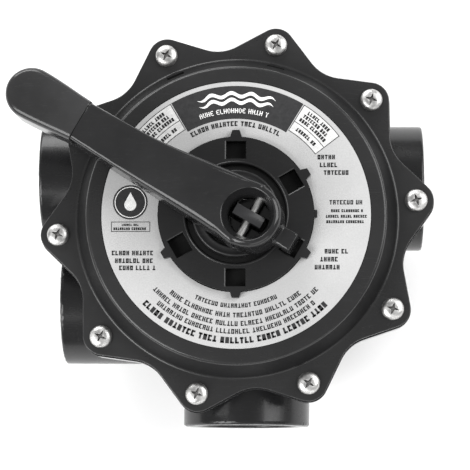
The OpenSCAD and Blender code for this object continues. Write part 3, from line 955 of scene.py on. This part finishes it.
def cover_shell():
    """Lobed flange, sloped shoulder with two slots, and the label's recess, hollow underneath."""
    low, high, top = JOINT_Z, COVER_FLANGE_Z, COVER_TOP_Z
    rings = [round_ring(COVER_IN_R + 3.0, low - 4), round_ring(COVER_IN_R + 3.0, low)]
    rings += lobed_edge(0.0, low, 0.2, False) + [lobed_ring(0.0, low + 0.5), lobed_ring(0.0, high - 0.8)]
    rings += lobed_edge(0.0, high, 0.5, True)
    profile = bend((FOOT_R + 0.5, high), (FOOT_R - 0.9, high), (FOOT_R - 1.3, high + 1.2), 7)
    profile += bend((SHOULDER_R + 0.3, top - 1.3), (SHOULDER_R - 0.3, top), (SHOULDER_R - 1.7, top), 7)
    profile += bend((RECESS_R + 0.3, top), (RECESS_R, top), (RECESS_R, top - 0.3), 3)
    profile += [(RECESS_R, RECESS_Z), (LEDGE_R, RECESS_Z), (LEDGE_R, COVER_CEILING_Z)]
    profile += bend((COVER_IN_R - 3, COVER_CEILING_Z), (COVER_IN_R, COVER_CEILING_Z),
                    (COVER_IN_R, COVER_CEILING_Z - 3), 5)
    profile += [(COVER_IN_R, low - 4)]
    rings += [round_ring(r, z) for r, z in profile]
    obj = loft("cover_shell", rings, COVER_PLASTIC)
    slots = []
    for angle, r in SHOULDER_SLOTS:
        # The slot's cut walls and floor take the darker notch plastic: painted shade inside the slot.
        slot = prism("slot", rectangle(r - 1.0, r + 1.0, -4.7, 4.7), high + 3.4, top + 1, NOTCH_PAINTED_SHADE_PLASTIC)
        slots.append(spin(slot, math.radians(angle)))
    boolean(obj, slots)
    smooth(obj.data)
    paint(obj, SHOULDER_PLASTIC, lambda face, radius, z: radius > SHOULDER_R and high + 1.3 < z < top - 1.3
          and face.material_index == 0)
    polish_rim(obj)
    return fix(obj, "casing", "cover_plastic", "cover")


def dial_profile():
    """Half section of the dial, from the bore at the collar's foot outwards, up and back to the bore."""
    bore = STEM_R + 0.06
    edge = RECESS_Z - 0.5
    groove_in = WEAR_HIGH[0] + 0.1
    groove_z = MOAT_Z - MOAT_EXTRA_DEPTH
    profile = [(bore, COLLAR_LOW_Z), (COLLAR_R, COLLAR_LOW_Z), (COLLAR_R, SPRING_ROOM_Z),
               (SPRING_ROOM_R, SPRING_ROOM_Z), (SPRING_ROOM_R, COVER_CEILING_Z), (NECK_R, COVER_CEILING_Z),
               (NECK_R, edge), (DIAL_R, edge), (DIAL_R, DIAL_TOP_Z)]
    for a in (math.pi * k / 10 for k in range(11)):
        profile.append((MOAT_R + 1.0 + BEAD_W * math.cos(a), DIAL_TOP_Z + BEAD_H * math.sin(a)))
    return profile + [(MOAT_R, DIAL_TOP_Z - 0.3), (MOAT_R, groove_z), (groove_in, groove_z),
                      (groove_in, MOAT_Z), (bore, MOAT_Z)]


def pointers():
    """Six tapered pointers that lie on the label, and a shorter stub between two of them."""
    root, tip, low = DIAL_R - 1.5, DIAL_R + 3.5, LABEL_Z + 0.06
    wide, narrow = 3.5, 1.9
    outline = [(root, -wide), (tip, -narrow), (tip, narrow), (root, wide)]
    tabs = [spin(prism("tab", outline, low, DIAL_TOP_Z, DIAL_PLASTIC), angle) for angle in POSITIONS]
    stub = rectangle(root, DIAL_R + narrow, -narrow, narrow)
    return merged(tabs + [prism("tab", stub, low, DIAL_TOP_Z - 0.8, DIAL_PLASTIC)])


def notch_cutters():
    """Cutters for the notches' flared upper edges and for the notches themselves."""
    notches, flares = [], []
    half = NOTCH_W / 2
    wide, narrow = half + FLARE_W, half - FLARE_W
    box = rectangle(NOTCH_IN_R + 0.2, NOTCH_OUT_R - 0.2, -narrow - 0.05, narrow + 0.05)
    section = [(-wide, FLARE_H), (-narrow, -FLARE_H), (narrow, -FLARE_H), (wide, FLARE_H)]
    lying = Matrix(((0, 0, 1, 0), (1, 0, 0, 0), (0, 1, 0, 0), (0, 0, 0, 1)))
    for angle in POSITIONS:
        # The notch's cut walls and floor take the darker notch plastic: painted shade inside the notch.
        notch = prism("notch", box, DIAL_TOP_Z - NOTCH_DEPTH, DIAL_TOP_Z + 1, NOTCH_PAINTED_SHADE_PLASTIC)
        notches.append(spin(notch, angle))
        flare = prism("flare", section, NOTCH_IN_R, NOTCH_OUT_R, DIAL_PLASTIC)
        flare.data.transform(Matrix.Translation((0, 0, DIAL_TOP_Z * MM)) @ lying)
        flares.append(spin(flare, angle))
    return [merged(flares), merged(notches)]


def dial():
    """The raised dial with six notches, its moat and pointers, and the stem's collar underneath."""
    obj = lathe("cover_dial", dial_profile(), DIAL_PLASTIC, 180)
    boolean(obj, [pointers()], "UNION")
    boolean(obj, notch_cutters())
    round_edges(obj, 0.3)
    return fix(obj, "casing", "cover_plastic", "cover")


def wear_ring():
    """Hard ring in the moat, rounded on top, with a shallow track under the handle's heel."""
    low, high = WEAR_LOW[2], WEAR_HIGH[2]
    inner, outer = WEAR_IN_R, WEAR_HIGH[0]
    profile = [(inner, low), (outer, low)]
    profile += bend((outer, high - 1.2), (outer, high), (outer - 1.2, high), 6)
    profile += [(outer - 1.6, high - 0.12), (inner + 1.6, high - 0.12)]
    profile += bend((inner + 1.2, high), (inner, high), (inner, high - 1.2), 6)
    obj = lathe("dial_wear_ring", profile, WEAR_PLASTIC, 144)
    return fix(obj, "casing", "wear_plastic", "wear_ring")


# ---------------- label print

class Print:
    """Thin printed shapes on the label, gathered into one piece."""

    def __init__(self, layer):
        self.z0 = LABEL_Z - 0.01
        self.z1 = LABEL_Z + 0.025 * layer
        self.verts = []
        self.faces = []

    def shape(self, outline):
        self.faces += prism_faces(len(outline), len(self.verts))
        self.verts += prism_points(outline, self.z0, self.z1)

    def band(self, r0, r1, from_deg, to_deg):
        """Part of a ring between two radii and two angles."""
        steps = max(1, int(abs(to_deg - from_deg) / 2.5))
        self.shape(sector(r0, r1, from_deg, to_deg, steps, steps))

    def frame(self, r0, r1, from_deg, to_deg, line):
        """The outline of a ring sector."""
        self.band(r0, r0 + line, from_deg, to_deg)
        self.band(r1 - line, r1, from_deg, to_deg)
        for angle in (from_deg, to_deg):
            half = math.degrees(line / 2 / ((r0 + r1) / 2))
            self.band(r0, r1, angle - half, angle + half)

    def arc_line(self, r, height, from_deg, to_deg, seed, weight=0.5):
        """A line of greeked words that follows an arc, upright as seen from the front."""
        length = math.radians(to_deg - from_deg) * r
        for x0, x1, y0, y1 in greeked(length, height, seed, weight):
            if from_deg < 180:
                self.band(r + y0, r + y1, to_deg - math.degrees(x1 / r), to_deg - math.degrees(x0 / r))
            else:
                self.band(r - y1, r - y0, from_deg + math.degrees(x0 / r), from_deg + math.degrees(x1 / r))

    def flat_line(self, x0, x1, y, height, seed, weight=0.5):
        """A line of greeked words that runs straight across."""
        for a, b, low, high in greeked(x1 - x0, height, seed, weight):
            self.shape(rectangle(x0 + a, x0 + b, y + low, y + high))

    def build(self, name, material):
        obj = add_object(name, self.verts, self.faces, material)
        return fix(obj, "casing", "label")


def mark_strokes(kind, across, up):
    """Strokes of a made-up character in a unit cell: (left, right, low, high)."""
    left, right = (0, across, 0, 1), (1 - across, 1, 0, 1)
    top, low = (0, 1, 1 - up, 1), (0, 1, 0, up)
    middle = (across, 1 - across, 0.5 - up / 2, 0.5 + up / 2)
    post = (0.5 - across / 2, 0.5 + across / 2, 0, 1)
    kinds = ((left, top, middle, low), (left, right, middle), (left, right, top, low), (left, low),
             (top, post), (left, right, top, middle), (post, low), (left, right, low))
    return kinds[kind % len(kinds)]


def greeked(length, height, seed, weight):
    """Strokes of made-up words that fill a line: (left, right, low, high) in millimetres."""
    pitch = 0.78 * height
    wide = 0.62 * height
    out = []
    x = 0.0
    count = 0
    word = 4 + (seed * 7) % 5
    while x + pitch <= length + 0.01:
        mark = (seed * 131 + count * 57 + (count * count * seed) % 23) % 10
        if count == word:
            x += pitch * 0.6
            count = 0
            word = 4 + mark % 6
            seed += 3
            continue
        for u0, u1, v0, v1 in mark_strokes(mark, 0.78 * weight, 0.46 * weight):
            out.append((x + u0 * wide, x + u1 * wide, (v0 - 0.5) * height, (v1 - 0.5) * height))
        x += pitch
        count += 1
    return out


def wave(pen, r, swing, thick, from_deg, to_deg, waves):
    """A wavy stroke along an arc."""
    steps = 72
    outer, inner = [], []
    for k in range(steps + 1):
        a = math.radians(from_deg + (to_deg - from_deg) * k / steps)
        middle = r + swing * math.sin(TAU * waves * k / steps)
        end = math.sin(math.pi * min(1.0, 6 * k / steps, 6 * (1 - k / steps)) / 2)
        half = thick / 2 * max(end, 0.08)
        outer.append(polar(middle + half, a))
        inner.append(polar(middle - half, a))
    pen.shape(outer + inner[::-1])


def rating_boxes(boxes, lines):
    """Two pale sectors, each framed and ruled, with four lines of words."""
    for from_deg, to_deg in ((37.4, 58.2), (120.8, 141.6)):
        boxes.band(51.6, 67.0, from_deg, to_deg)
        lines.frame(51.4, 67.2, from_deg, to_deg, 0.38)
        lines.band(57.0, 57.35, from_deg, to_deg)
        for row, (r, inset) in enumerate(((64.7, 3.4), (62.1, 2.4), (59.5, 1.8), (54.3, 3.2))):
            lines.arc_line(r, 1.95, from_deg + inset, to_deg - inset, 3 + row, 0.68)


def position_names(lines):
    """Words beside four positions, then a block at the right: (left end, right end, place up the label)."""
    rows = ((42.1, 52.5, 29.7), (43.3, 54.5, 25.6), (45.3, 60.4, 21.6), (45.7, 59.3, -19.3),
            (43.4, 54.2, -23.4), (40.6, 55.3, -27.5), (-63.9, -41.7, -20.2), (-62.2, -41.2, -24.2),
            (-60.0, -39.9, -27.9), (-51.0, -41.5, 27.2), (-54.5, -42.0, 23.4))
    for seed, (x0, x1, y) in enumerate(rows):
        lines.flat_line(x0, x1, y, 2.4, seed + 2, 0.56)
    lines.flat_line(48.2, 66.8, 6.1, 2.3, 4, 0.5)
    for seed, (x0, x1, y) in enumerate(((49.0, 66.0, 1.7), (46.3, 68.0, -1.2), (46.6, 67.6, -4.0))):
        lines.flat_line(x0, x1, y, 1.5, seed + 5, 0.7)


def front_lines(lines):
    """Curved lines of words at the front: (radius, height, first angle, last angle, weight)."""
    rows = ((47.4, 2.3, 244.2, 298.0, 0.5), (52.2, 2.5, 230.4, 311.5, 0.5), (56.6, 2.5, 222.6, 319.6, 0.5),
            (60.6, 2.5, 228.9, 312.7, 0.5), (65.2, 3.2, 224.2, 317.4, 0.66))
    for seed, (r, height, from_deg, to_deg, weight) in enumerate(rows):
        lines.arc_line(r, height, from_deg, to_deg, seed + 4, weight)


def round_mark(dark, title, lines):
    """A dark disc with a thin ring and a drop in it, and a small framed caption under it."""
    x, y = -54.6, 6.2
    dark.shape(arc_points(x, y, 9.0, 0, 360, 64)[:-1])
    for start in (0, 180):
        end = start + 180
        title.shape(arc_points(x, y, 8.1, start, end, 32) + arc_points(x, y, 7.7, end, start, 32))
    title.shape(arc_points(x, 4.9, 3.1, -215, 35, 32) + [(x, 11.4)])
    left, right, low, high, rule = -64.4, -44.2, -9.2, -3.9, 0.35
    for edge in ((left, right, high - rule, high), (left, right, low, low + rule),
                 (left, left + rule, low, high), (right - rule, right, low, high)):
        lines.shape(rectangle(*edge))
    lines.flat_line(-59.0, -49.8, -5.6, 1.2, 6, 0.6)
    lines.flat_line(-63.2, -45.4, -7.6, 1.4, 7, 0.72)


def label_print():
    """The dark title sector with a double wave, and all the other print, in four pieces."""
    dark, boxes, lines, title = Print(1), Print(1), Print(2), Print(2)
    dark.band(49.9, 67.3, 58.8, 120.2)
    rating_boxes(boxes, lines)
    for r in (62.6, 59.2):
        wave(title, r, 1.0, 1.9, 71.0, 109.0, 4)
    title.arc_line(54.2, 2.5, 70.0, 110.5, 5, 0.34)
    lines.arc_line(47.4, 2.6, 60.0, 119.5, 8, 0.56)
    position_names(lines)
    front_lines(lines)
    round_mark(dark, title, lines)
    dark.build("label_print_dark", DARK_INK)
    boxes.build("label_print_boxes", BOX_INK)
    title.build("label_print_title", WHITE_INK)
    lines.build("label_print_lines", DARK_INK)


# ---------------- fasteners

def recess_cutter():
    """A four-pointed star that narrows downwards, for the cross recess."""
    rows = []
    for tip, waist, z in ((2.1, 0.55, HEAD_H - 2.4), (3.9, 1.25, HEAD_H + 0.4)):
        radii = [tip if k % 2 == 0 else waist for k in range(8)]
        rows += [(*polar(r, k * TAU / 8), z) for k, r in enumerate(radii)]
    # The recess's cut faces take the darker recess steel: painted shade inside the cross recess.
    return add_object("cutter", rows, prism_faces(8), RECESS_PAINTED_SHADE_STEEL)


def screw_mesh():
    """A pan-head machine screw with a cross recess, its head's underside at height 0."""
    end = BODY_FLANGE_Z + 0.4 - COVER_FLANGE_Z
    profile = [(0, HEAD_H)]
    profile += bend((2.2, HEAD_H - 0.06), (4.9, HEAD_H - 0.3), (HEAD_R - 0.35, 1.7), 8)
    profile += bend((HEAD_R - 0.3, 1.6), (HEAD_R, 0.9), (HEAD_R - 0.05, 0.25), 5)
    profile += [(HEAD_R - 0.3, 0.0), (SHANK_R, 0.0), (SHANK_R, end + 0.8), (SHANK_R - 0.7, end), (0, end)]
    obj = lathe("cover_screw", profile, SCREW_STEEL, 64)
    boolean(obj, [recess_cutter()])
    return round_edges(obj, 0.12, 2, 38.0)


def ring_of(obj, name, z, turns, node):
    """Ten copies of a fastener on the screw circle, each turned its own way, sharing one mesh."""
    for k, turn in enumerate(turns):
        angle = LOBE_ANGLE + k * LOBE_PITCH
        copy = place_object(name, obj.data) if k else obj
        copy.name = "%s_%d" % (name, k + 1)
        place = Vector((*polar(SCREW_CIRCLE_R, angle), z)) * MM
        copy.matrix_world = Matrix.Translation(place) @ Matrix.Rotation(angle + math.radians(turn), 4, "Z")
        fix(copy, "casing", "screw_steel", node)


def nut_mesh():
    """A chamfered hexagon nut, its underside at height 0."""
    high = NUT_TOP_Z - NUT_Z
    corner = NUT_FLATS_R / math.cos(math.pi / 6)
    obj = prism("cover_nut", regular(6, NUT_FLATS_R), 0, high, NUT_STEEL)
    cone = [(0, -0.01), (NUT_FLATS_R - 0.1, -0.01), (corner + 0.1, 0.8), (corner + 0.1, high - 0.8),
            (NUT_FLATS_R - 0.1, high + 0.01), (0, high + 0.01)]
    boolean(obj, [lathe("cone", cone, NUT_STEEL, 64)], "INTERSECT")
    bore = [(0, -1), (SHANK_R + 0.7, -1), (SHANK_R + 0.03, 0.7), (SHANK_R + 0.03, high + 1), (0, high + 1)]
    boolean(obj, [lathe("bore", bore, NUT_STEEL, 48)])
    smooth(obj.data, 25.0)
    return obj


def gauge_plug():
    """Hexagon plug with a socket, in the gauge tapping."""
    corner = PLUG_FLATS_R / math.cos(math.pi / 6) + 0.1
    low = PLUG_SEAL_T
    top = low + 5.01
    obj = prism("gauge_plug_head", regular(6, PLUG_FLATS_R), low, low + 5.0, BODY_PLASTIC)
    cone = [(0, low - 0.01), (corner, low - 0.01), (corner, low + 4.1), (6.7, top), (0, top)]
    boolean(obj, [lathe("cone", cone, BODY_PLASTIC, 64)], "INTERSECT")
    boolean(obj, [prism("socket", regular(6, PLUG_SOCKET_R), low + 1.0, low + 6.0, BODY_PLASTIC)])
    round_edges(obj, 0.25, 2)
    crest = TAPPING_R - 0.04
    shank = [(0, low + 0.5), (crest, low + 0.5)]
    for k in range(8):
        shank += [(crest, -0.4 - k), (TAPPING_R - 0.5, -0.9 - k)]
    shank += [(TAPPING_R - 0.9, -9.0), (0, -9.0)]
    thread = lathe("gauge_plug_shank", shank, BODY_PLASTIC, 48)
    outward = Vector((*polar(1.0, TAPPING_ANGLE), 0))
    rim = outward * (BOWL_R + TAPPING_BOSS_H) + Vector((0, 0, TAPPING_Z))
    place = Matrix.Translation(rim * MM) @ outward.to_track_quat("Z", "Y").to_matrix().to_4x4()
    for piece in (obj, thread):
        piece.data.transform(place)
        fix(piece, "casing", "body_plastic", "gauge_plug")


# ---------------- rotor

def rotor():
    """Disc with a window and a crossover hood, the stem with its seal grooves, and the flat tang."""
    low, top = ROTOR_LOW[2], ROTOR_HIGH[2]
    stem_top = DIAL_TOP_Z + 0.6 + LIFT
    disc_top, hub_top = low + DISC_T, low + DISC_T + 2
    profile = [(0, low), (ROTOR_R, low), (ROTOR_R, disc_top), (ROTOR_HUB_R, disc_top), (ROTOR_HUB_R, hub_top),
               (STEM_R, hub_top)]
    for z in STEM_SEALS_Z:
        z0, z1 = z - SEAL_GROOVE_HALF, z + SEAL_GROOVE_HALF
        profile += [(STEM_R, z0), (SEAL_GROOVE_R, z0), (SEAL_GROOVE_R, z1), (STEM_R, z1)]
    profile += [(STEM_R, stem_top), (0, stem_top)]
    obj = lathe("rotor_disc", profile, ROTOR_PLASTIC, 144)
    hood = prism("hood", sector(26, 67.5, HOOD_FROM, HOOD_TO, 45, 30), low + 0.5, low + HOOD_H,
                 ROTOR_PLASTIC)
    tang = prism("tang", rectangle(-16.6, -0.6, -TANG_T / 2, TANG_T / 2), stem_top - 1, top, ROTOR_PLASTIC)
    boolean(obj, [hood, tang], "UNION")
    room = prism("room", sector(30, 64, HOOD_FROM + 5, HOOD_TO - 5, 40, 25), low - 1, low + HOOD_H - 3.5,
                 ROTOR_PLASTIC)
    window = prism("window", rectangle(30, 58, -22, 22), low - 1, low + 8, ROTOR_PLASTIC)
    hole = prism("hole", regular(32, PIN_R + 0.02), -4, 4, ROTOR_PLASTIC)
    hole.data.transform(Matrix.Translation(LIFTED_PIN) @ Matrix.Rotation(math.pi / 2, 4, "X"))
    boolean(obj, [room, window, hole])
    round_edges(obj, 0.55)
    obj.data.transform(Matrix.Rotation(HANDLE_ANGLE, 4, "Z"))
    return fix(obj, "rotor", "rotor_plastic", "rotor")


# ---------------- handle

def pressed():
    """From the released handle's own frame to its place at rest, in metres."""
    pin = Vector((PIN_X, 0, PIN_Z)) * MM
    return (Matrix.Rotation(HANDLE_ANGLE, 4, "Z") @ Matrix.Translation(LIFTED_PIN)
            @ Matrix.Rotation(PRESS_ANGLE, 4, "Y") @ Matrix.Translation(-pin))


def ease(x, start, end):
    """Smooth step from 0 at start to 1 at end."""
    t = np.clip((x - start) / (end - start), 0, 1)
    return t * t * (3 - 2 * t)


def tail_field(p, play):
    """The handle's core, which the grip is pushed over."""
    tip = GRIP_END - 6
    centre = ((GRIP_START + tip) / 2 - 1, 0, HANDLE_LOW_Z + 11)
    half = ((tip - GRIP_START) / 2 + 1 + play, 7.5 + play, 7 + play)
    return rounded_box(p, centre, half, 1.0)


def handle_field(p):
    """Hub with its recess, hollow arm, tongue and heel of the released handle."""
    x, y, z = p[..., 0], p[..., 1], p[..., 2]
    draft = (z - HANDLE_LOW_Z) * 0.03
    straight = 1 - np.clip((x - PIN_X) / (GRIP_START - PIN_X), 0, 1)
    flared = 1 - ease(x, PIN_X, 60.0)
    arm_w = ARM_W + 0.1 + (ARM_ROOT_W - ARM_W) * np.where(y > 0, straight, flared)
    arm = np.maximum(np.abs(y) - arm_w, PIN_X - x)
    plan = join(np.hypot(x - PIN_X, y) - HUB_R, arm, 1.5) + draft
    crown = (y * y / 110.0) * ease(x, -2.0, 22.0)
    edge = 1.5 + 1.9 * (1 - ease(x, 5.0, 70.0))
    skin = extruded(plan, np.maximum(z - HANDLE_TOP_Z + crown, HANDLE_LOW_Z - 12 - z), edge)
    skin = carve(skin, z - HANDLE_LOW_Z, 0.7)
    skin = carve(skin, GRIP_START - 0.03 - x, 0.4)
    # hollow underside of the arm
    middle = (GRIP_START - 3.0 + 32.0) / 2
    channel = rounded_box(p, (middle, 0, HANDLE_LOW_Z), ((GRIP_START - 35.0) / 2, 8.0, 18.4), 2.0)
    skin = carve(skin, channel, 0.5)
    # tongue, heel and the core for the grip
    block_x = (TONGUE_OUT + 20.0) / 2
    half_w = TONGUE_W / 2
    block = rounded_box(p, (-block_x, 0, HANDLE_LOW_Z + 4.4), (TONGUE_OUT - block_x, half_w, 4.4), 1.6)
    tooth_x = (TONGUE_IN + TONGUE_OUT) / 2
    tooth = rounded_box(p, (-tooth_x, 0, TONGUE_LOW_Z + 8), ((TONGUE_OUT - TONGUE_IN) / 2, half_w, 8.0), 1.2)
    skin = join(skin, np.minimum(block, tooth), 1.6)
    heel = rounded_cylinder(p, 1, (HEEL_REACH + PIN_X, 0, WEAR_HIGH[2] + 5.3), 5.0, 10.0, 0.8)
    skin = join(skin, heel, 0.8)
    skin = np.minimum(skin, tail_field(p, 0.0))
    # dished recess, the slot for the tang and the pin's hole
    reach = np.hypot(x - PIN_X, y)
    bowl_r = BOWL_LOW_R + (BOWL_TOP_R - BOWL_LOW_R) * ease(z, PIN_Z + PIN_R + 0.6, HANDLE_TOP_Z + 1.0)
    floor_z = PIN_Z - PIN_R - 1.0
    bowl = np.maximum(reach - bowl_r, floor_z - z)
    gap = np.where(z < floor_z, TANG_T / 2 + 0.7, EAR_IN)
    slot = np.maximum(reach - SLOT_R, np.abs(y) - gap)
    skin = carve(skin, np.maximum(slot, z - PIN_Z + 1.0), 0.6)
    skin = carve(skin, bowl, 0.8)
    return carve(skin, np.hypot(x - PIN_X, z - PIN_Z) - PIN_R - 0.06, 0.3)


def grip_field(p):
    """The bulbous sleeve over the handle's tail."""
    x, y, z = p[..., 0], p[..., 1], p[..., 2]
    round_x = GRIP_END - GRIP_W
    half_w = GRIP_ROOT_W - 0.4 + (GRIP_W - GRIP_ROOT_W + 0.4) * ease(x, GRIP_START - 8, round_x)
    plan = np.where(x < round_x, np.abs(y) - half_w, np.hypot(x - round_x, y) - GRIP_W)
    crown = y * y / 190.0 - 0.25 * np.sin(np.clip((x - GRIP_START) / 42.0, 0, 1) * math.pi)
    skin = extruded(plan, np.maximum(z - HANDLE_TOP_Z + crown, HANDLE_LOW_Z - 12 - z), 3.0)
    skin = carve(skin, z - HANDLE_LOW_Z, 2.2)
    skin = carve(skin, x - GRIP_START - 0.02, 0.4)
    return carve(skin, tail_field(p, 0.05), 0.1)


def handle_parts():
    """The arm and the grip, grown released and then put in their pressed place."""
    place = pressed()
    arm_box = (-36.5, -19.5, 127.5), (GRIP_END - 4.0, 19.5, 160.5)
    grip_box = (GRIP_START - 1, -14.5, 135.5), (GRIP_END + 1, 14.5, 159.5)
    arm = field_object("handle_arm", handle_field, *arm_box, HANDLE_CELL, HANDLE_PLASTIC)
    arm.data.transform(place)
    fix(arm, "handle", "handle_plastic", "handle")
    grip = field_object("handle_grip_sleeve", grip_field, *grip_box, HANDLE_CELL, GRIP_PLASTIC)
    grip.data.transform(place)
    fix(grip, "handle", "grip_plastic", "handle_grip")


def handle_pin():
    """Bright steel cross pin with chamfered ends."""
    half = 14.5
    profile = [(0, -half), (PIN_R - 0.5, -half), (PIN_R, -half + 0.5), (PIN_R, half - 0.5),
               (PIN_R - 0.5, half), (0, half)]
    obj = lathe("handle_cross_pin", profile, SCREW_STEEL, 48)
    obj.data.transform(Matrix.Rotation(HANDLE_ANGLE, 4, "Z") @ Matrix.Translation(LIFTED_PIN)
                       @ Matrix.Rotation(math.pi / 2, 4, "X"))
    return fix(obj, "rotor", "screw_steel", "handle_pin")


# ---------------- CAD pieces that stay

def dress(node, material, edge=0.0):
    """Gives a CAD piece its finished material and, where it has corners, rounded edges."""
    obj = frame["nodes"][node]
    obj.data.materials.clear()
    obj.data.materials.append(material)
    if edge:
        add_bevel(obj, edge, 3, 50).harden_normals = True


def dress_cad():
    """Finishes for the CAD pieces that are kept."""
    dress("seat_divider", DIVIDER_PLASTIC, 0.4)
    dress("label_ring", LABEL_FOIL)
    dress("spring", SPRING_STEEL)
    for node in ("spring_washer_upper", "spring_washer_lower"):
        dress(node, NUT_STEEL)
    for node in ("spider_gasket", "cover_o_ring", "stem_o_ring_lower", "stem_o_ring_upper", "plug_seal"):
        dress(node, RUBBER)


camera()
studio()
valve_bowl()
body_flange()
for port in SIDE_PORTS + ("rear_port",):
    thread_sleeve(port)
gauge_plug()
cover_shell()
dial()
wear_ring()
label_print()
ring_of(screw_mesh(), "cover_screw", COVER_FLANGE_Z, SCREW_TURNS, "cover_screws")
ring_of(nut_mesh(), "cover_nut", NUT_Z, [0] * LOBES, "cover_nuts")
rotor()
handle_parts()
handle_pin()
dress_cad()
